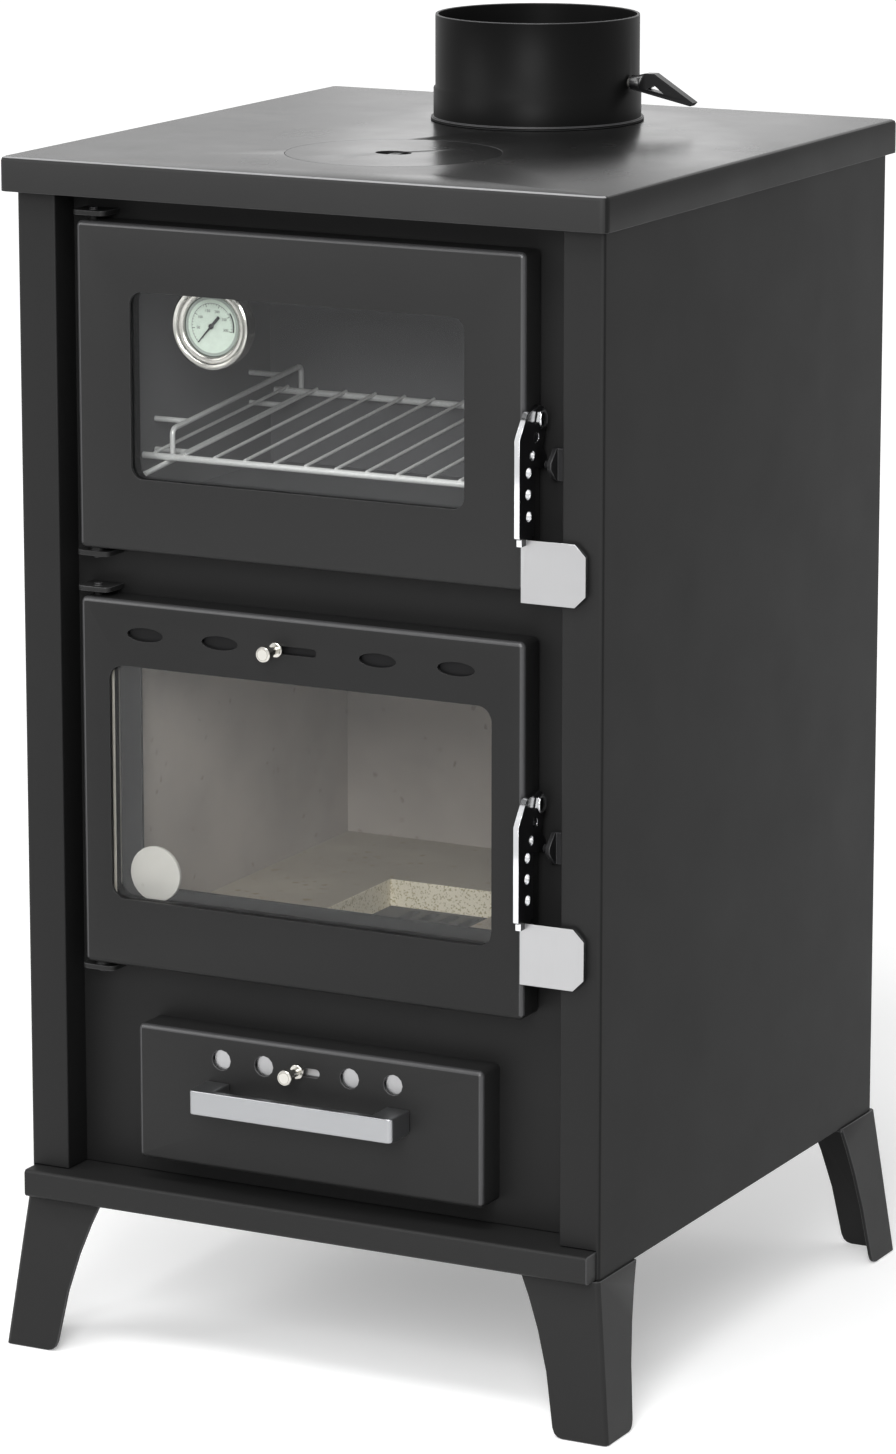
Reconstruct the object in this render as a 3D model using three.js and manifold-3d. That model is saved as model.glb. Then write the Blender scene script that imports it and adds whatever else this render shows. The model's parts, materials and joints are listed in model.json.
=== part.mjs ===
// Wood-burning stove with an oven over the firebox and an ash drawer under it.
// Millimetres. X runs to the right of somebody facing the stove, Y from the front to the back, Z up.
// The floor is z = 0. While it is built, y = 0 is the front of the side panels' flanges; the
// finished stove is moved so that its origin is the middle of its footprint.

import * as THREE from 'three';
import { mergeVertices } from 'three/addons/utils/BufferGeometryUtils.js';
import Module from 'manifold-3d';

const wasm = await Module();
wasm.setup();

// Driving dimensions. The heights stand on each other: legs, ledge, drawer, fire door, oven door, hob.
const bodyWidth = 450;
const bodyDepth = 465;
const legHeight = 112;
const drawerHeight = 98;
const fireDoorHeight = 262;
const ovenDoorHeight = 227.6;
const halfBody = bodyWidth / 2;

// Sheet, gaps and cuts
const sheet = 2;
const doorSheet = 2.5;
const heavySheet = 3;
const seatGap = 0.3;
const edgeRadius = 3;
const overrun = 1;

// Casing
const ledgeHeight = 20;
const ledgeReach = 15;
const sideFlange = 30.5;
const rearFlange = 18;
const flangeLift = 1;
const platePlane = 26;
const mouthCorner = 6;
const drawerLift = 17.5;
const fireDoorLift = 40.2;
const ovenDoorLift = 35;
const hobLift = 42.2;
const trayTop = legHeight + ledgeHeight;
const drawerBottom = trayTop + drawerLift;
const fireDoorBottom = drawerBottom + drawerHeight + fireDoorLift;
const ovenDoorBottom = fireDoorBottom + fireDoorHeight + ovenDoorLift;
const hobHeight = ovenDoorBottom + ovenDoorHeight + hobLift;

// Top plate, flue collar and damper
const topPlateSheet = 4;
const topLip = 24;
const topReachFront = 12.5;
const topReachSide = 7;
const topCorner = 6;
const lidRadius = 75;
const lidFlange = 2;
const lidSeat = 6;
const lidPlugDepth = 12;
const lidCentreY = 129.5;
const lidRecessLength = 26.6;
const lidRecessWidth = 20;
const lidRecessDepth = 6;
const lidBarWidth = 7;
const flueInset = 114;
const flueCentreY = bodyDepth - flueInset;
const flueRadius = 73.7;
const flueWall = 2;
const collarHeight = 76;
const collarBandHeight = 23;
const collarBandWall = 1.3;
const collarBeadReach = 2;
const collarBeadHeight = 2;
const damperHeight = 30;
const damperShaftRadius = 3.5;
const damperDiscGap = 3.7;
const damperDiscThickness = 2;
const damperShaftReach = 4.3;
const leverWidth = 8;
const leverHubRadius = 5.5;
const leverHubLength = 6;
const leverPeak = 12;
const leverRise = 7.5;
const leverReach = 50;
const leverDrop = 13;
const leverTip = 2.5;

// Legs
const legSheet = 3;
const legTopOut = 1.5;
const legTopForward = 3.5;
const legSplaySide = 13;
const legSplayFront = 12;
const legTopWidth = 60;
const legFootWidth = 41.5;
const legFootRadius = 7;
const legBendRadius = 3;
const legCurve = 2.2;

// Doors: both are as wide, and stand at the same place across the front. Left and right are distances
// from the middle of the stove; a window's margins are those to its door's edges.
const doorInsetLeft = 46.8;
const doorInsetRight = 58.5;
const doorLeft = halfBody - doorInsetLeft;
const doorRight = halfBody - doorInsetRight;
const doorDepth = 22.5;
const doorCorner = 4;
const ovenWindowMargins = { left: 42.1, right: 45, foot: 51.2, head: 46.5 };
const ovenWindowCorner = 9;
const fireWindowMargins = { left: 22.3, right: 24.1, foot: 48.6, head: 46.3 };
const fireWindowCorner = 11;
const glassThickness = 4;
const glassLap = 8;
const framePlane = 14.5;
const frameOpeningLap = 2;
const gasketInset = 13;
const gasketWidth = 9;
const gasketCorner = 14;

// Door hinges
const hingeInset = 8.2;
const hingePlane = 11;
const hingePinRadius = 3;
const hingePinReach = 9;
const hingePinHead = 2;
const hingeLugSheet = 3.5;
const hingeLugGap = 3.1;
const hingeLugLeft = 14;
const hingeLugRight = 12;
const hingeLugFront = 7;
const hingeLugCorner = 5;
const hingeBushRadius = 5;

// Door latches
const latchPlane = 14;
const ovenLatchRise = 115.5;
const fireLatchRise = 149.3;
const latchSheet = 4;
const latchGap = 0.5;
const latchBoss = 9;
const latchReach = 30;
const latchLength = 78;
const latchBladeWidth = 22;
const latchNose = 11.3;
const latchNoseDrop = 32;
const latchNoseHeight = 8;
const latchHoleRadius = 3.75;
const gripWidth = 48;
const gripHeight = 43;
const gripDrop = 79;
const gripSheet = 3.5;
const gripReach = 20;
const gripCorner = 8;
const boltRadius = 4;
const boltHeadRadius = 7;
const boltHeadLength = 4.5;
const nutRadius = 6.5;
const nutLength = 5;
const keeperGap = 6;
const keeperSheet = 3;
const keeperDrop = 21;
const keeperHeight = 22;
const keeperDepth = 13;
const keeperPinRadius = 3;

// Air slides in the fire door and in the drawer
const airLineDrop = 22.9;
const airLine = fireDoorHeight - airLineDrop;
const slideEnd = 2;
const airHoleLength = 29;
const airHoleHeight = 10;
const airTravel = 28;
const airSlotHeight = 6;
const airKnobLeft = 22.6;
const slideSheet = 1.5;
const slideHeight = 22;
const railSheet = 1.2;
const railDepth = 3.6;
const railLip = 2;
const knobHeadRadius = 5.5;
const knobNeckRadius = 2.9;
const knobShankRadius = 2.5;
const knobHeadLength = 7;
const knobRosetteRadius = 5.2;
const knobRosetteLength = 2.5;
const knobReach = 20;

// Ash drawer
const drawerInset = 89;
const drawerWidth = bodyWidth - 2 * drawerInset;
const drawerVentDrop = 18.3;
const drawerVentLine = drawerHeight - drawerVentDrop;
const drawerVentRadius = 7.3;
const drawerVentTravel = 14;
const drawerKnobLeft = 8;
const drawerHandleLength = 160;
const drawerHandleHeight = 17.5;
const drawerHandleDrop = 33.4;
const drawerHandleRise = drawerVentLine - drawerHandleDrop;
const drawerHandleReach = 28;
const drawerHandleBar = 6;
const drawerHandlePost = 18;
const drawerHandleCorner = 4;
const panSheet = 1.5;
const panMargin = 6;
const panBackRoom = 138;
const panLength = bodyDepth - panBackRoom;
const panLift = 8;
const panHeadGap = 1.1;
const panHeight = drawerVentLine - slideHeight / 2 - seatGap - railSheet - panHeadGap - panLift;
const panFloor = drawerBottom + panLift;
const panRunnerWidth = 16;
const panRunnerInset = 14;
const panRunnerBackRoom = 65;
const panRunnerLength = bodyDepth - panRunnerBackRoom;

// Openings in the front plate
const mouthLap = 20.2;
const ovenMouthFoot = 21.9;
const ovenMouthHead = 19.4;
const fireMouthLap = 32.2;
const fireMouthFoot = 52.8;
const fireMouthHead = 31.3;
const drawerMouthLap = 8;
const drawerMouthFoot = 6;
const drawerMouthHead = 6.5;

// Oven
const ovenSideRoom = 46;
const ovenBackRoom = 227;
const ovenFloorLift = 18.9;
const ovenHeadRoom = 18.4;
const ovenInsideWidth = bodyWidth - 2 * (2 * sheet + ovenSideRoom);
const ovenInsideDepth = bodyDepth - ovenBackRoom;
const ovenInsideHeight = ovenDoorHeight - ovenFloorLift - ovenHeadRoom;
const ovenFloor = ovenDoorBottom + ovenFloorLift;
const rackSideGap = 9;
const rackWidth = ovenInsideWidth - 2 * rackSideGap;
const rackFrontY = 68;
const rackBackRoom = 48;
const rackDepth = ovenInsideDepth - rackBackRoom;
const rackLift = 36;
const rackFrontZ = ovenFloor + rackLift;
const rackTilt = THREE.MathUtils.degToRad(5.5);
const rackBarRadius = 2.5;
const rackWireRadius = 1.25;
const rackWirePitch = 24;
const rackWireEdge = 8;
const rackWireCount = Math.floor((rackWidth - 2 * rackWireEdge) / rackWirePitch) + 1;
const runnerWireRadius = 2;
const runnerInset = 27;
const runnerRise = 22;
const runnerFront = 8;
const runnerPost = 10;
const runnerTail = 7;

// Thermometer behind the oven window
const dialInset = 53;
const dialDrop = 23;
const dialCentreX = doorLeft - ovenWindowMargins.left - dialInset;
const dialCentreZ = ovenDoorHeight - ovenWindowMargins.head - dialDrop;
const dialCaseRadius = 30;
const dialCaseWall = 2;
const dialCaseDepth = 13.2;
const dialRimWidth = 1;
const dialRadius = 24;
const dialSheet = 0.8;
const dialSink = 4.2;
const needleLength = 20;
const needleTail = 11;
const needleWidth = 1.6;
const needleTailWidth = 4;
const needleSheet = 0.8;
const needleHubRadius = 2.2;
const needleHubHeight = 1.8;
const needleRest = THREE.MathUtils.degToRad(215);
const bracketWidth = 20;
const bracketFlange = 10;
const bracketClear = 2.3;
const bracketDrop = 34;

// Firebox
const fireboxDrop = 11.2;
const fireboxFloor = fireDoorBottom - fireboxDrop;
const fireboxPlate = 3;
const ashHoleWidth = 101.4;
const ashHoleFront = 81;
const ashHoleDepth = 143;
const shellSheet = 2.5;
const shellSideRoom = 35.2;
const shellBackRoom = 90.2;
const shellInsideWidth = bodyWidth - 2 * (sheet + shellSheet + shellSideRoom);
const shellDepth = bodyDepth - shellBackRoom;
const liningThickness = 30;
const backLining = 25;
const liningFront = 31;
const liningHeadRoom = 45;
const liningTop = ovenFloor - liningHeadRoom;
const baffleThickness = 20;
const baffleFront = 95;
const grateRest = 6;
const grateThickness = 10;
const grateSlotWidth = 8;
const grateSlotLength = 28;
const grateSlotPitch = 16;
const grateSlotRows = 4;
const keeperDiscRadius = 20;
const keeperDiscInset = 12;
const keeperDiscLift = 10;
const keeperDiscX = doorLeft - fireMouthLap - keeperDiscInset;
const keeperDiscZ = fireDoorBottom + fireMouthFoot + keeperDiscLift;

// Finishes
const paint = { color: 0x3d3d3e, roughness: 0.6, metalness: 0.15 };
const innerPaint = { color: 0x262627, roughness: 0.75, metalness: 0.1 };
const hobPaint = { color: 0x8c8c8e, roughness: 0.45, metalness: 0.4 };
const fluePaint = { color: 0x29292a, roughness: 0.5, metalness: 0.2 };
const chrome = { color: 0xd9dadc, roughness: 0.16, metalness: 1 };
const steel = { color: 0xb8b9bb, roughness: 0.34, metalness: 1 };
const castIron = { color: 0x2e2d2c, roughness: 0.8, metalness: 0.3 };
const liningBoard = { color: 0x857b70, roughness: 0.95, metalness: 0 };
const vermiculite = { color: 0xb5a883, roughness: 0.98, metalness: 0 };
const rope = { color: 0xcfc9be, roughness: 1, metalness: 0 };
const glass = { color: 0x30343a, roughness: 0.05, metalness: 0, transparent: true, opacity: 0.35 };
const dialFace = { color: 0xe2e8dc, roughness: 0.5, metalness: 0 };
const needlePaint = { color: 0x1c1c1e, roughness: 0.5, metalness: 0.1 };

// Places worked out from the dimensions above
const traySide = halfBody - sheet - seatGap;
const trayBack = bodyDepth - sheet - seatGap;
const frontFace = platePlane - seatGap;
const plateBack = platePlane + heavySheet;
const behindPlate = plateBack + seatGap;
const wallTop = hobHeight - topPlateSheet - seatGap;
const backFace = trayBack - sheet;
const collarFoot = hobHeight + seatGap;
const damperZ = hobHeight + damperHeight;

// Solids

const along = {
  x: (u, v, w) => new THREE.Vector3(w, u, v),
  y: (u, v, w) => new THREE.Vector3(u, w, v),
  z: (u, v, w) => new THREE.Vector3(u, v, w),
};

function mapPoints(geometry, change) {
  const points = geometry.getAttribute('position');
  for (let i = 0; i < points.count; i += 1) {
    const moved = change(points.getX(i), points.getY(i), points.getZ(i));
    points.setXYZ(i, moved.x, moved.y, moved.z);
  }
  return geometry;
}

function signedVolume(points, faces) {
  const corner = (k) => new THREE.Vector3().fromArray(points, faces[k] * 3);
  let volume = 0;
  for (let k = 0; k < faces.length; k += 3) {
    volume += corner(k).dot(corner(k + 1).cross(corner(k + 2)));
  }
  return volume;
}

// Turns a three.js geometry into a closed solid with its faces pointing out.
function solid(geometry) {
  geometry.deleteAttribute('normal');
  geometry.deleteAttribute('uv');
  const merged = mergeVertices(geometry);
  const points = merged.getAttribute('position').array;
  const index = merged.index.array;
  const faces = [];
  for (let k = 0; k < index.length; k += 3) {
    const [a, b, c] = [index[k], index[k + 1], index[k + 2]];
    if (a !== b && b !== c && c !== a) {
      faces.push(a, b, c);
    }
  }
  if (signedVolume(points, faces) < 0) {
    faces.reverse();
  }
  return new wasm.Manifold(new wasm.Mesh({
    numProp: 3,
    vertProperties: Float32Array.from(points),
    triVerts: Uint32Array.from(faces),
  }));
}

const cut = (body, ...tools) => tools.reduce((rest, tool) => rest.subtract(tool), body);
const join = (first, ...others) => others.reduce((sum, other) => sum.add(other), first);

function box([x0, x1], [y0, y1], [z0, z1]) {
  const geometry = new THREE.BoxGeometry(x1 - x0, y1 - y0, z1 - z0);
  geometry.translate((x0 + x1) / 2, (y0 + y1) / 2, (z0 + z1) / 2);
  return solid(geometry);
}

// An outline in the two directions across an axis, pushed along that axis from one value to another.
function plate(axis, shape, from, to, curveSegments = 4) {
  const geometry = new THREE.ExtrudeGeometry(shape, { depth: to - from, bevelEnabled: false, curveSegments });
  return solid(mapPoints(geometry, (u, v, w) => along[axis](u, v, w + from)));
}

// The same with a rounded edge at the end called front; the other end is square.
function softPlate(axis, shape, front, back, edge) {
  const inward = Math.sign(back - front);
  const geometry = new THREE.ExtrudeGeometry(shape, {
    depth: Math.abs(back - front) - edge,
    bevelThickness: edge,
    bevelSize: edge,
    bevelOffset: -edge,
    bevelSegments: 2,
    curveSegments: 3,
  });
  const soft = solid(mapPoints(geometry, (u, v, w) => along[axis](u, v, front + inward * (w + edge))));
  return soft.intersect(plate(axis, shape, Math.min(front, back), Math.max(front, back), 3));
}

function outline(points) {
  const shape = new THREE.Shape();
  points.forEach(([u, v], i) => (i === 0 ? shape.moveTo(u, v) : shape.lineTo(u, v)));
  shape.closePath();
  return shape;
}

// A rectangle whose four corners are rounded: lower left, lower right, upper right, upper left.
function rectangle([u0, u1], [v0, v1], radii) {
  const [a, b, c, d] = Array.isArray(radii) ? radii : [radii, radii, radii, radii];
  const quarter = Math.PI / 2;
  const shape = new THREE.Shape();
  shape.moveTo(u0 + a, v0);
  shape.lineTo(u1 - b, v0);
  shape.absarc(u1 - b, v0 + b, b, -quarter, 0, false);
  shape.lineTo(u1, v1 - c);
  shape.absarc(u1 - c, v1 - c, c, 0, quarter, false);
  shape.lineTo(u0 + d, v1);
  shape.absarc(u0 + d, v1 - d, d, quarter, 2 * quarter, false);
  shape.lineTo(u0, v0 + a);
  shape.absarc(u0 + a, v0 + a, a, 2 * quarter, 3 * quarter, false);
  return shape;
}

function ellipse(u, v, radiusU, radiusV) {
  const shape = new THREE.Shape();
  shape.absellipse(u, v, radiusU, radiusV, 0, 2 * Math.PI, false);
  return shape;
}

const circle = (u, v, radius) => ellipse(u, v, radius, radius);

function rod(axis, u, v, radius, from, to, curveSegments = 6) {
  return plate(axis, circle(u, v, radius), from, to, curveSegments);
}

// A profile of [radius, height] points turned about an axis through (u, v).
function turned(axis, u, v, profile, segments = 40) {
  const points = profile.map(([r, h]) => new THREE.Vector2(r, h));
  const geometry = new THREE.LatheGeometry(points, segments);
  return solid(mapPoints(geometry, (x, h, z) => along[axis](x + u, z + v, h)));
}

// Round wire between two points.
function wire(from, to, radius, sides = 6) {
  const start = new THREE.Vector3(...from);
  const end = new THREE.Vector3(...to);
  const direction = end.clone().sub(start);
  const geometry = new THREE.CylinderGeometry(radius, radius, direction.length(), sides);
  const up = new THREE.Vector3(0, 1, 0);
  geometry.applyQuaternion(new THREE.Quaternion().setFromUnitVectors(up, direction.normalize()));
  geometry.translate(...start.add(end).divideScalar(2).toArray());
  return solid(geometry);
}

// Rings of points, one above the other, joined into one skin with flat ends.
function loft(levels) {
  const flatOf = (ring) => ring.map((p) => new THREE.Vector2(p.x, p.y));
  const rings = THREE.ShapeUtils.isClockWise(flatOf(levels[0])) ? levels.map((ring) => ring.reverse()) : levels;
  const count = rings[0].length;
  const points = rings.flat().flatMap((p) => p.toArray());
  const faces = [];
  for (let k = 0; k + 1 < rings.length; k += 1) {
    for (let i = 0; i < count; i += 1) {
      const [a, b] = [k * count + i, k * count + (i + 1) % count];
      faces.push(a, b, b + count, a, b + count, a + count);
    }
  }
  const last = (rings.length - 1) * count;
  THREE.ShapeUtils.triangulateShape(flatOf(rings[0]), []).forEach(([a, b, c]) => {
    faces.push(c, b, a, a + last, b + last, c + last);
  });
  const geometry = new THREE.BufferGeometry();
  geometry.setAttribute('position', new THREE.Float32BufferAttribute(points, 3));
  geometry.setIndex(faces);
  return solid(geometry);
}

function part(name, body, finish) {
  const cells = body.getMesh();
  const geometry = new THREE.BufferGeometry();
  geometry.setAttribute('position', new THREE.BufferAttribute(cells.vertProperties, 3));
  geometry.setIndex(new THREE.BufferAttribute(cells.triVerts, 1));
  geometry.computeVertexNormals();
  const mesh = new THREE.Mesh(geometry, new THREE.MeshStandardMaterial(finish));
  mesh.name = name;
  return mesh;
}

function group(parts, z = 0) {
  const holder = new THREE.Group();
  holder.position.z = z;
  holder.add(...parts);
  return holder;
}

// Base tray: a folded sheet, open only at the back, whose upper front edge is the ledge over the legs.
function makeBaseTray() {
  const front = -ledgeReach;
  const corners = [edgeRadius, 0, 0, edgeRadius];
  const folded = rectangle([front, trayBack], [legHeight, trayTop], corners);
  const hollow = box(
    [-traySide + doorSheet, traySide - doorSheet],
    [front + doorSheet, trayBack + overrun],
    [legHeight + doorSheet, trayTop - doorSheet],
  );
  return part('base_tray', cut(plate('x', folded, -traySide, traySide), hollow), paint);
}

// One leg: an angle of sheet that splays outwards and narrows to the foot, with a plate on top.
function makeLeg(name, side, end) {
  const top = legHeight - seatGap;
  const levelShares = [0, 0.12, 0.42, 1];
  const footLevels = levelShares.map((share) => share * legFootRadius);
  const bodyLevels = [0.4, 0.65, 0.85, 1].map((share) => share * top);
  const section = (z) => {
    const rise = z / top;
    const out = halfBody + legTopOut + legSplaySide * (1 - rise);
    const forward = legTopForward + legSplayFront * (1 - rise);
    const below = Math.max(legFootRadius - z, 0);
    const lost = legFootRadius - Math.sqrt(legFootRadius ** 2 - below ** 2);
    const width = legFootWidth + (legTopWidth - legFootWidth) * rise ** legCurve - lost;
    const bend = legBendRadius * (1 - Math.SQRT1_2);
    const flat = [
      [out, -forward + width], [out, -forward + legBendRadius],
      [out - bend, -forward + bend], [out - legBendRadius, -forward],
      [out - width, -forward], [out - width, -forward + legSheet],
      [out - legSheet, -forward + legSheet], [out - legSheet, -forward + width],
    ];
    return flat.map(([x, y]) => new THREE.Vector3(side * x, end > 0 ? bodyDepth - y : y, z));
  };
  const angle = loft([...footLevels, ...bodyLevels].map(section));
  const reach = [halfBody + legTopOut - legTopWidth, halfBody + legTopOut - overrun];
  const deep = [-legTopForward + overrun, -legTopForward + legTopWidth];
  const across = side > 0 ? reach : [-reach[1], -reach[0]];
  const inward = end > 0 ? [bodyDepth - deep[1], bodyDepth - deep[0]] : deep;
  const topPlate = box(across, inward, [top - legSheet, top]);
  return part(name, join(angle, topPlate), paint);
}

// Side panel: one sheet bent at the front and back corners, with a return behind the front flange.
function makeSidePanel(name, side) {
  const inner = halfBody - sideFlange;
  const folded = rectangle([inner, halfBody], [0, bodyDepth], [edgeRadius / 2, edgeRadius, edgeRadius, 0]);
  const high = [legHeight - overrun, hobHeight];
  const cuts = [
    box([inner + sheet, halfBody - sheet], [sheet, bodyDepth - sheet], high),
    box([inner - overrun, halfBody - rearFlange], [frontFace, bodyDepth + overrun], high),
    box([inner - overrun, halfBody - sheet], [-overrun, bodyDepth + overrun], [high[0], trayTop + flangeLift]),
  ];
  const body = cut(plate('z', folded, legHeight, wallTop, 4), ...cuts);
  return part(name, side > 0 ? body : body.mirror([1, 0, 0]), paint);
}

function makeBackPanel() {
  return part('back_panel', box([-traySide, traySide], [backFace, trayBack], [trayTop + seatGap, wallTop]), paint);
}

// Front plate: the heavy sheet behind the doors, with the mouths of the oven, firebox and drawer.
function makeFrontPlate() {
  const sheetBody = box([-traySide, traySide], [platePlane, plateBack], [trayTop + seatGap, wallTop]);
  const mouth = ([x0, x1], [z0, z1]) => plate('y', rectangle([x0, x1], [z0, z1], mouthCorner), 0, platePlane * 2);
  const ovenMouth = mouth(
    [-doorLeft + mouthLap, doorRight - mouthLap],
    [ovenDoorBottom + ovenMouthFoot, ovenDoorBottom + ovenDoorHeight - ovenMouthHead],
  );
  const fireMouth = mouth(
    [-doorLeft + fireMouthLap, doorRight - fireMouthLap],
    [fireDoorBottom + fireMouthFoot, fireDoorBottom + fireDoorHeight - fireMouthHead],
  );
  const drawerMouth = mouth(
    [-drawerWidth / 2 + drawerMouthLap, drawerWidth / 2 - drawerMouthLap],
    [drawerBottom + drawerMouthFoot, drawerBottom + drawerHeight - drawerMouthHead],
  );
  return part('front_plate', cut(sheetBody, ovenMouth, fireMouth, drawerMouth), innerPaint);
}

// Top plate: a shallow lid over the casing, with the seat of the hob lid and the flue hole.
function makeTopPlate() {
  const side = halfBody + topReachSide;
  const back = bodyDepth + seatGap + topPlateSheet;
  const shape = rectangle([-side, side], [-topReachFront, back], topCorner);
  const outside = softPlate('z', shape, hobHeight, hobHeight - topLip, edgeRadius);
  const hollow = box(
    [-side + topPlateSheet, side - topPlateSheet],
    [-topReachFront + topPlateSheet, back - topPlateSheet],
    [hobHeight - topLip - overrun, hobHeight - topPlateSheet],
  );
  const seatBottom = hobHeight - lidFlange - seatGap;
  const under = hobHeight - topLip;
  const over = hobHeight + overrun;
  const cuts = [
    hollow,
    rod('z', 0, lidCentreY, lidRadius + seatGap, seatBottom, over, 24),
    rod('z', 0, lidCentreY, lidRadius - lidSeat + seatGap, under, over, 24),
    rod('z', 0, flueCentreY, flueRadius - flueWall, under, over, 24),
  ];
  return part('top_plate', cut(outside, ...cuts), hobPaint);
}

// Hob lid: a disc with a plug under it and an oval recess with a bar from its front to its back.
function makeHobLid() {
  const bottom = hobHeight - lidPlugDepth;
  const shelf = hobHeight - lidFlange;
  const plug = lidRadius - lidSeat;
  const disc = turned('z', 0, lidCentreY, [[0, bottom], [plug, bottom], [plug, shelf], [lidRadius, shelf],
    [lidRadius, hobHeight], [0, hobHeight]], 48);
  const floor = hobHeight - lidRecessDepth;
  const recessShape = ellipse(0, lidCentreY, lidRecessLength / 2, lidRecessWidth / 2);
  const recess = plate('z', recessShape, floor, hobHeight + overrun, 12);
  const barEnd = lidRecessWidth / 2 + overrun;
  const bar = box(
    [-lidBarWidth / 2, lidBarWidth / 2],
    [lidCentreY - barEnd, lidCentreY + barEnd],
    [hobHeight - lidFlange * 2, hobHeight - lidFlange / 2],
  );
  return part('hob_lid', join(cut(disc, recess), bar), hobPaint);
}

function makeFlueCollar() {
  const bore = flueRadius - flueWall;
  const band = flueRadius + collarBandWall;
  const bead = band + collarBeadReach;
  const beadTop = collarFoot + collarBeadHeight;
  const bandTop = hobHeight + collarBandHeight;
  const rim = hobHeight + collarHeight;
  const tube = turned('z', 0, flueCentreY, [[bore, collarFoot], [bead, collarFoot], [bead, beadTop],
    [band, beadTop], [band, bandTop], [flueRadius, bandTop + collarBandWall], [flueRadius, rim],
    [bore, rim], [bore, collarFoot]], 48);
  const hole = rod('x', flueCentreY, damperZ, damperShaftRadius + seatGap, -bead - overrun, bead + overrun);
  return part('flue_collar', cut(tube, hole), fluePaint);
}

// Damper: a disc on a shaft across the flue, whose end is held in the hub of a lever outside the collar.
function makeDamperDisc() {
  const hub = flueRadius + collarBandWall + seatGap * 2;
  const tip = hub + leverHubLength - seatGap;
  const disc = rod('z', 0, flueCentreY, flueRadius - flueWall - damperDiscGap,
    damperZ - damperDiscThickness / 2, damperZ + damperDiscThickness / 2, 16);
  const shaft = rod('x', flueCentreY, damperZ, damperShaftRadius, -flueRadius - damperShaftReach, tip);
  return part('damper_disc', join(disc, shaft), castIron);
}

function makeDamperLever() {
  const hub = flueRadius + collarBandWall + seatGap * 2;
  const hubEnd = hub + leverHubLength;
  const at = ([along, up]) => [hub + along, damperZ + up];
  const bladeShape = outline([
    [0, -leverHubRadius * 0.8], [0, leverHubRadius * 0.8],
    [leverPeak, leverRise], [leverPeak * 1.6, leverRise],
    [leverReach, -leverDrop + leverTip / 2], [leverReach - leverTip, -leverDrop - leverTip / 2],
    [leverHubLength, -leverHubRadius],
  ].map(at));
  const eyeShape = outline([
    [leverPeak * 1.1, -leverRise * 0.5], [leverPeak * 1.6, -leverRise * 0.1], [leverPeak * 2.2, -leverRise * 0.85],
  ].map(at));
  const [front, back] = [flueCentreY - leverWidth / 2, flueCentreY + leverWidth / 2];
  const eye = plate('y', eyeShape, front - overrun, back + overrun);
  const boss = rod('x', flueCentreY, damperZ, leverHubRadius, hub, hubEnd + overrun);
  const bore = rod('x', flueCentreY, damperZ, damperShaftRadius + seatGap, hub - overrun, hubEnd);
  return part('damper_lever', cut(join(plate('y', bladeShape, front, back), boss), eye, bore), castIron);
}

// Doors. Each door is built on z = 0 at its lower edge and lifted into place afterwards.

// The row of holes, slots and pins of an air slide, in a front whose sheet starts at y = 0.
function slideRails([x0, x1], line) {
  const above = line + slideHeight / 2 + seatGap;
  const rail = (z, inward) => join(
    box([x0, x1], [doorSheet - overrun, doorSheet + railDepth], [Math.min(z, z + railSheet * inward),
      Math.max(z, z + railSheet * inward)]),
    box([x0, x1], [doorSheet + railDepth - railSheet, doorSheet + railDepth],
      [Math.min(z + railSheet * inward, z - railLip * inward), Math.max(z + railSheet * inward, z - railLip * inward)]),
  );
  return [rail(above, 1), rail(2 * line - above, -1)];
}

const oval = (x, line, from, to) => plate(
  'y', ellipse(x, line, airHoleLength / 2, airHoleHeight / 2), from, to, 9);

function slot(x0, x1, line, height, from, to) {
  const shape = rectangle([x0, x1], [line - height / 2, line + height / 2], height / 2 * 0.98);
  return plate('y', shape, from, to, 3);
}

function makeDoorShell(name, height, window, latchRise, air) {
  const face = softPlate('y', rectangle([-doorLeft, doorRight], [0, height], doorCorner), 0, doorDepth, edgeRadius);
  const hollow = box(
    [-doorLeft + doorSheet, doorRight - doorSheet],
    [doorSheet, doorDepth + overrun],
    [doorSheet, height - doorSheet],
  );
  const pane = plate('y', window.shape(0), -overrun, doorSheet + overrun);
  const hinge = rod('z', -doorLeft + hingeInset, hingePlane, hingePinRadius + seatGap, -overrun, height + overrun);
  const bolt = rod('x', latchPlane, latchRise, boltRadius + seatGap, doorRight - doorSheet * 2, doorRight + overrun);
  const shell = cut(face, hollow, pane, hinge, bolt);
  if (!air) {
    return part(name, shell, paint);
  }
  const front = [-overrun, doorSheet + overrun];
  const holes = air.holes.map((x) => oval(x, airLine, ...front));
  const track = slot(...air.track, airLine, airSlotHeight, ...front);
  const rails = slideRails([-doorLeft + doorSheet * 4, doorRight - doorSheet * 2], airLine);
  return part(name, cut(join(shell, ...rails), ...holes, track), paint);
}

function makeDoorGlass(name, window) {
  const front = doorSheet + seatGap;
  return part(name, plate('y', window.shape(glassLap), front, front + glassThickness), glass);
}

// Inner frame: holds the glass against the door with a collar round the window.
function makeDoorFrame(name, height, window, latchRise) {
  const inset = doorSheet + seatGap;
  const outer = rectangle([-doorLeft + inset, doorRight - inset], [inset, height - inset], edgeRadius);
  const back = framePlane + sheet;
  const collarFront = doorSheet + seatGap + glassThickness + seatGap;
  const plateBody = plate('y', outer, framePlane, back);
  const collar = plate('y', window.shape(frameOpeningLap + sheet), collarFront, framePlane + overrun);
  const opening = plate('y', window.shape(frameOpeningLap), collarFront - overrun, back + overrun);
  const room = nutRadius + overrun;
  const nutNotch = box(
    [doorRight - doorSheet - nutLength - overrun * 2, doorRight],
    [framePlane - overrun, back + overrun],
    [latchRise - room, latchRise + room],
  );
  return part(name, cut(join(plateBody, collar), opening, nutNotch), innerPaint);
}

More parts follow.
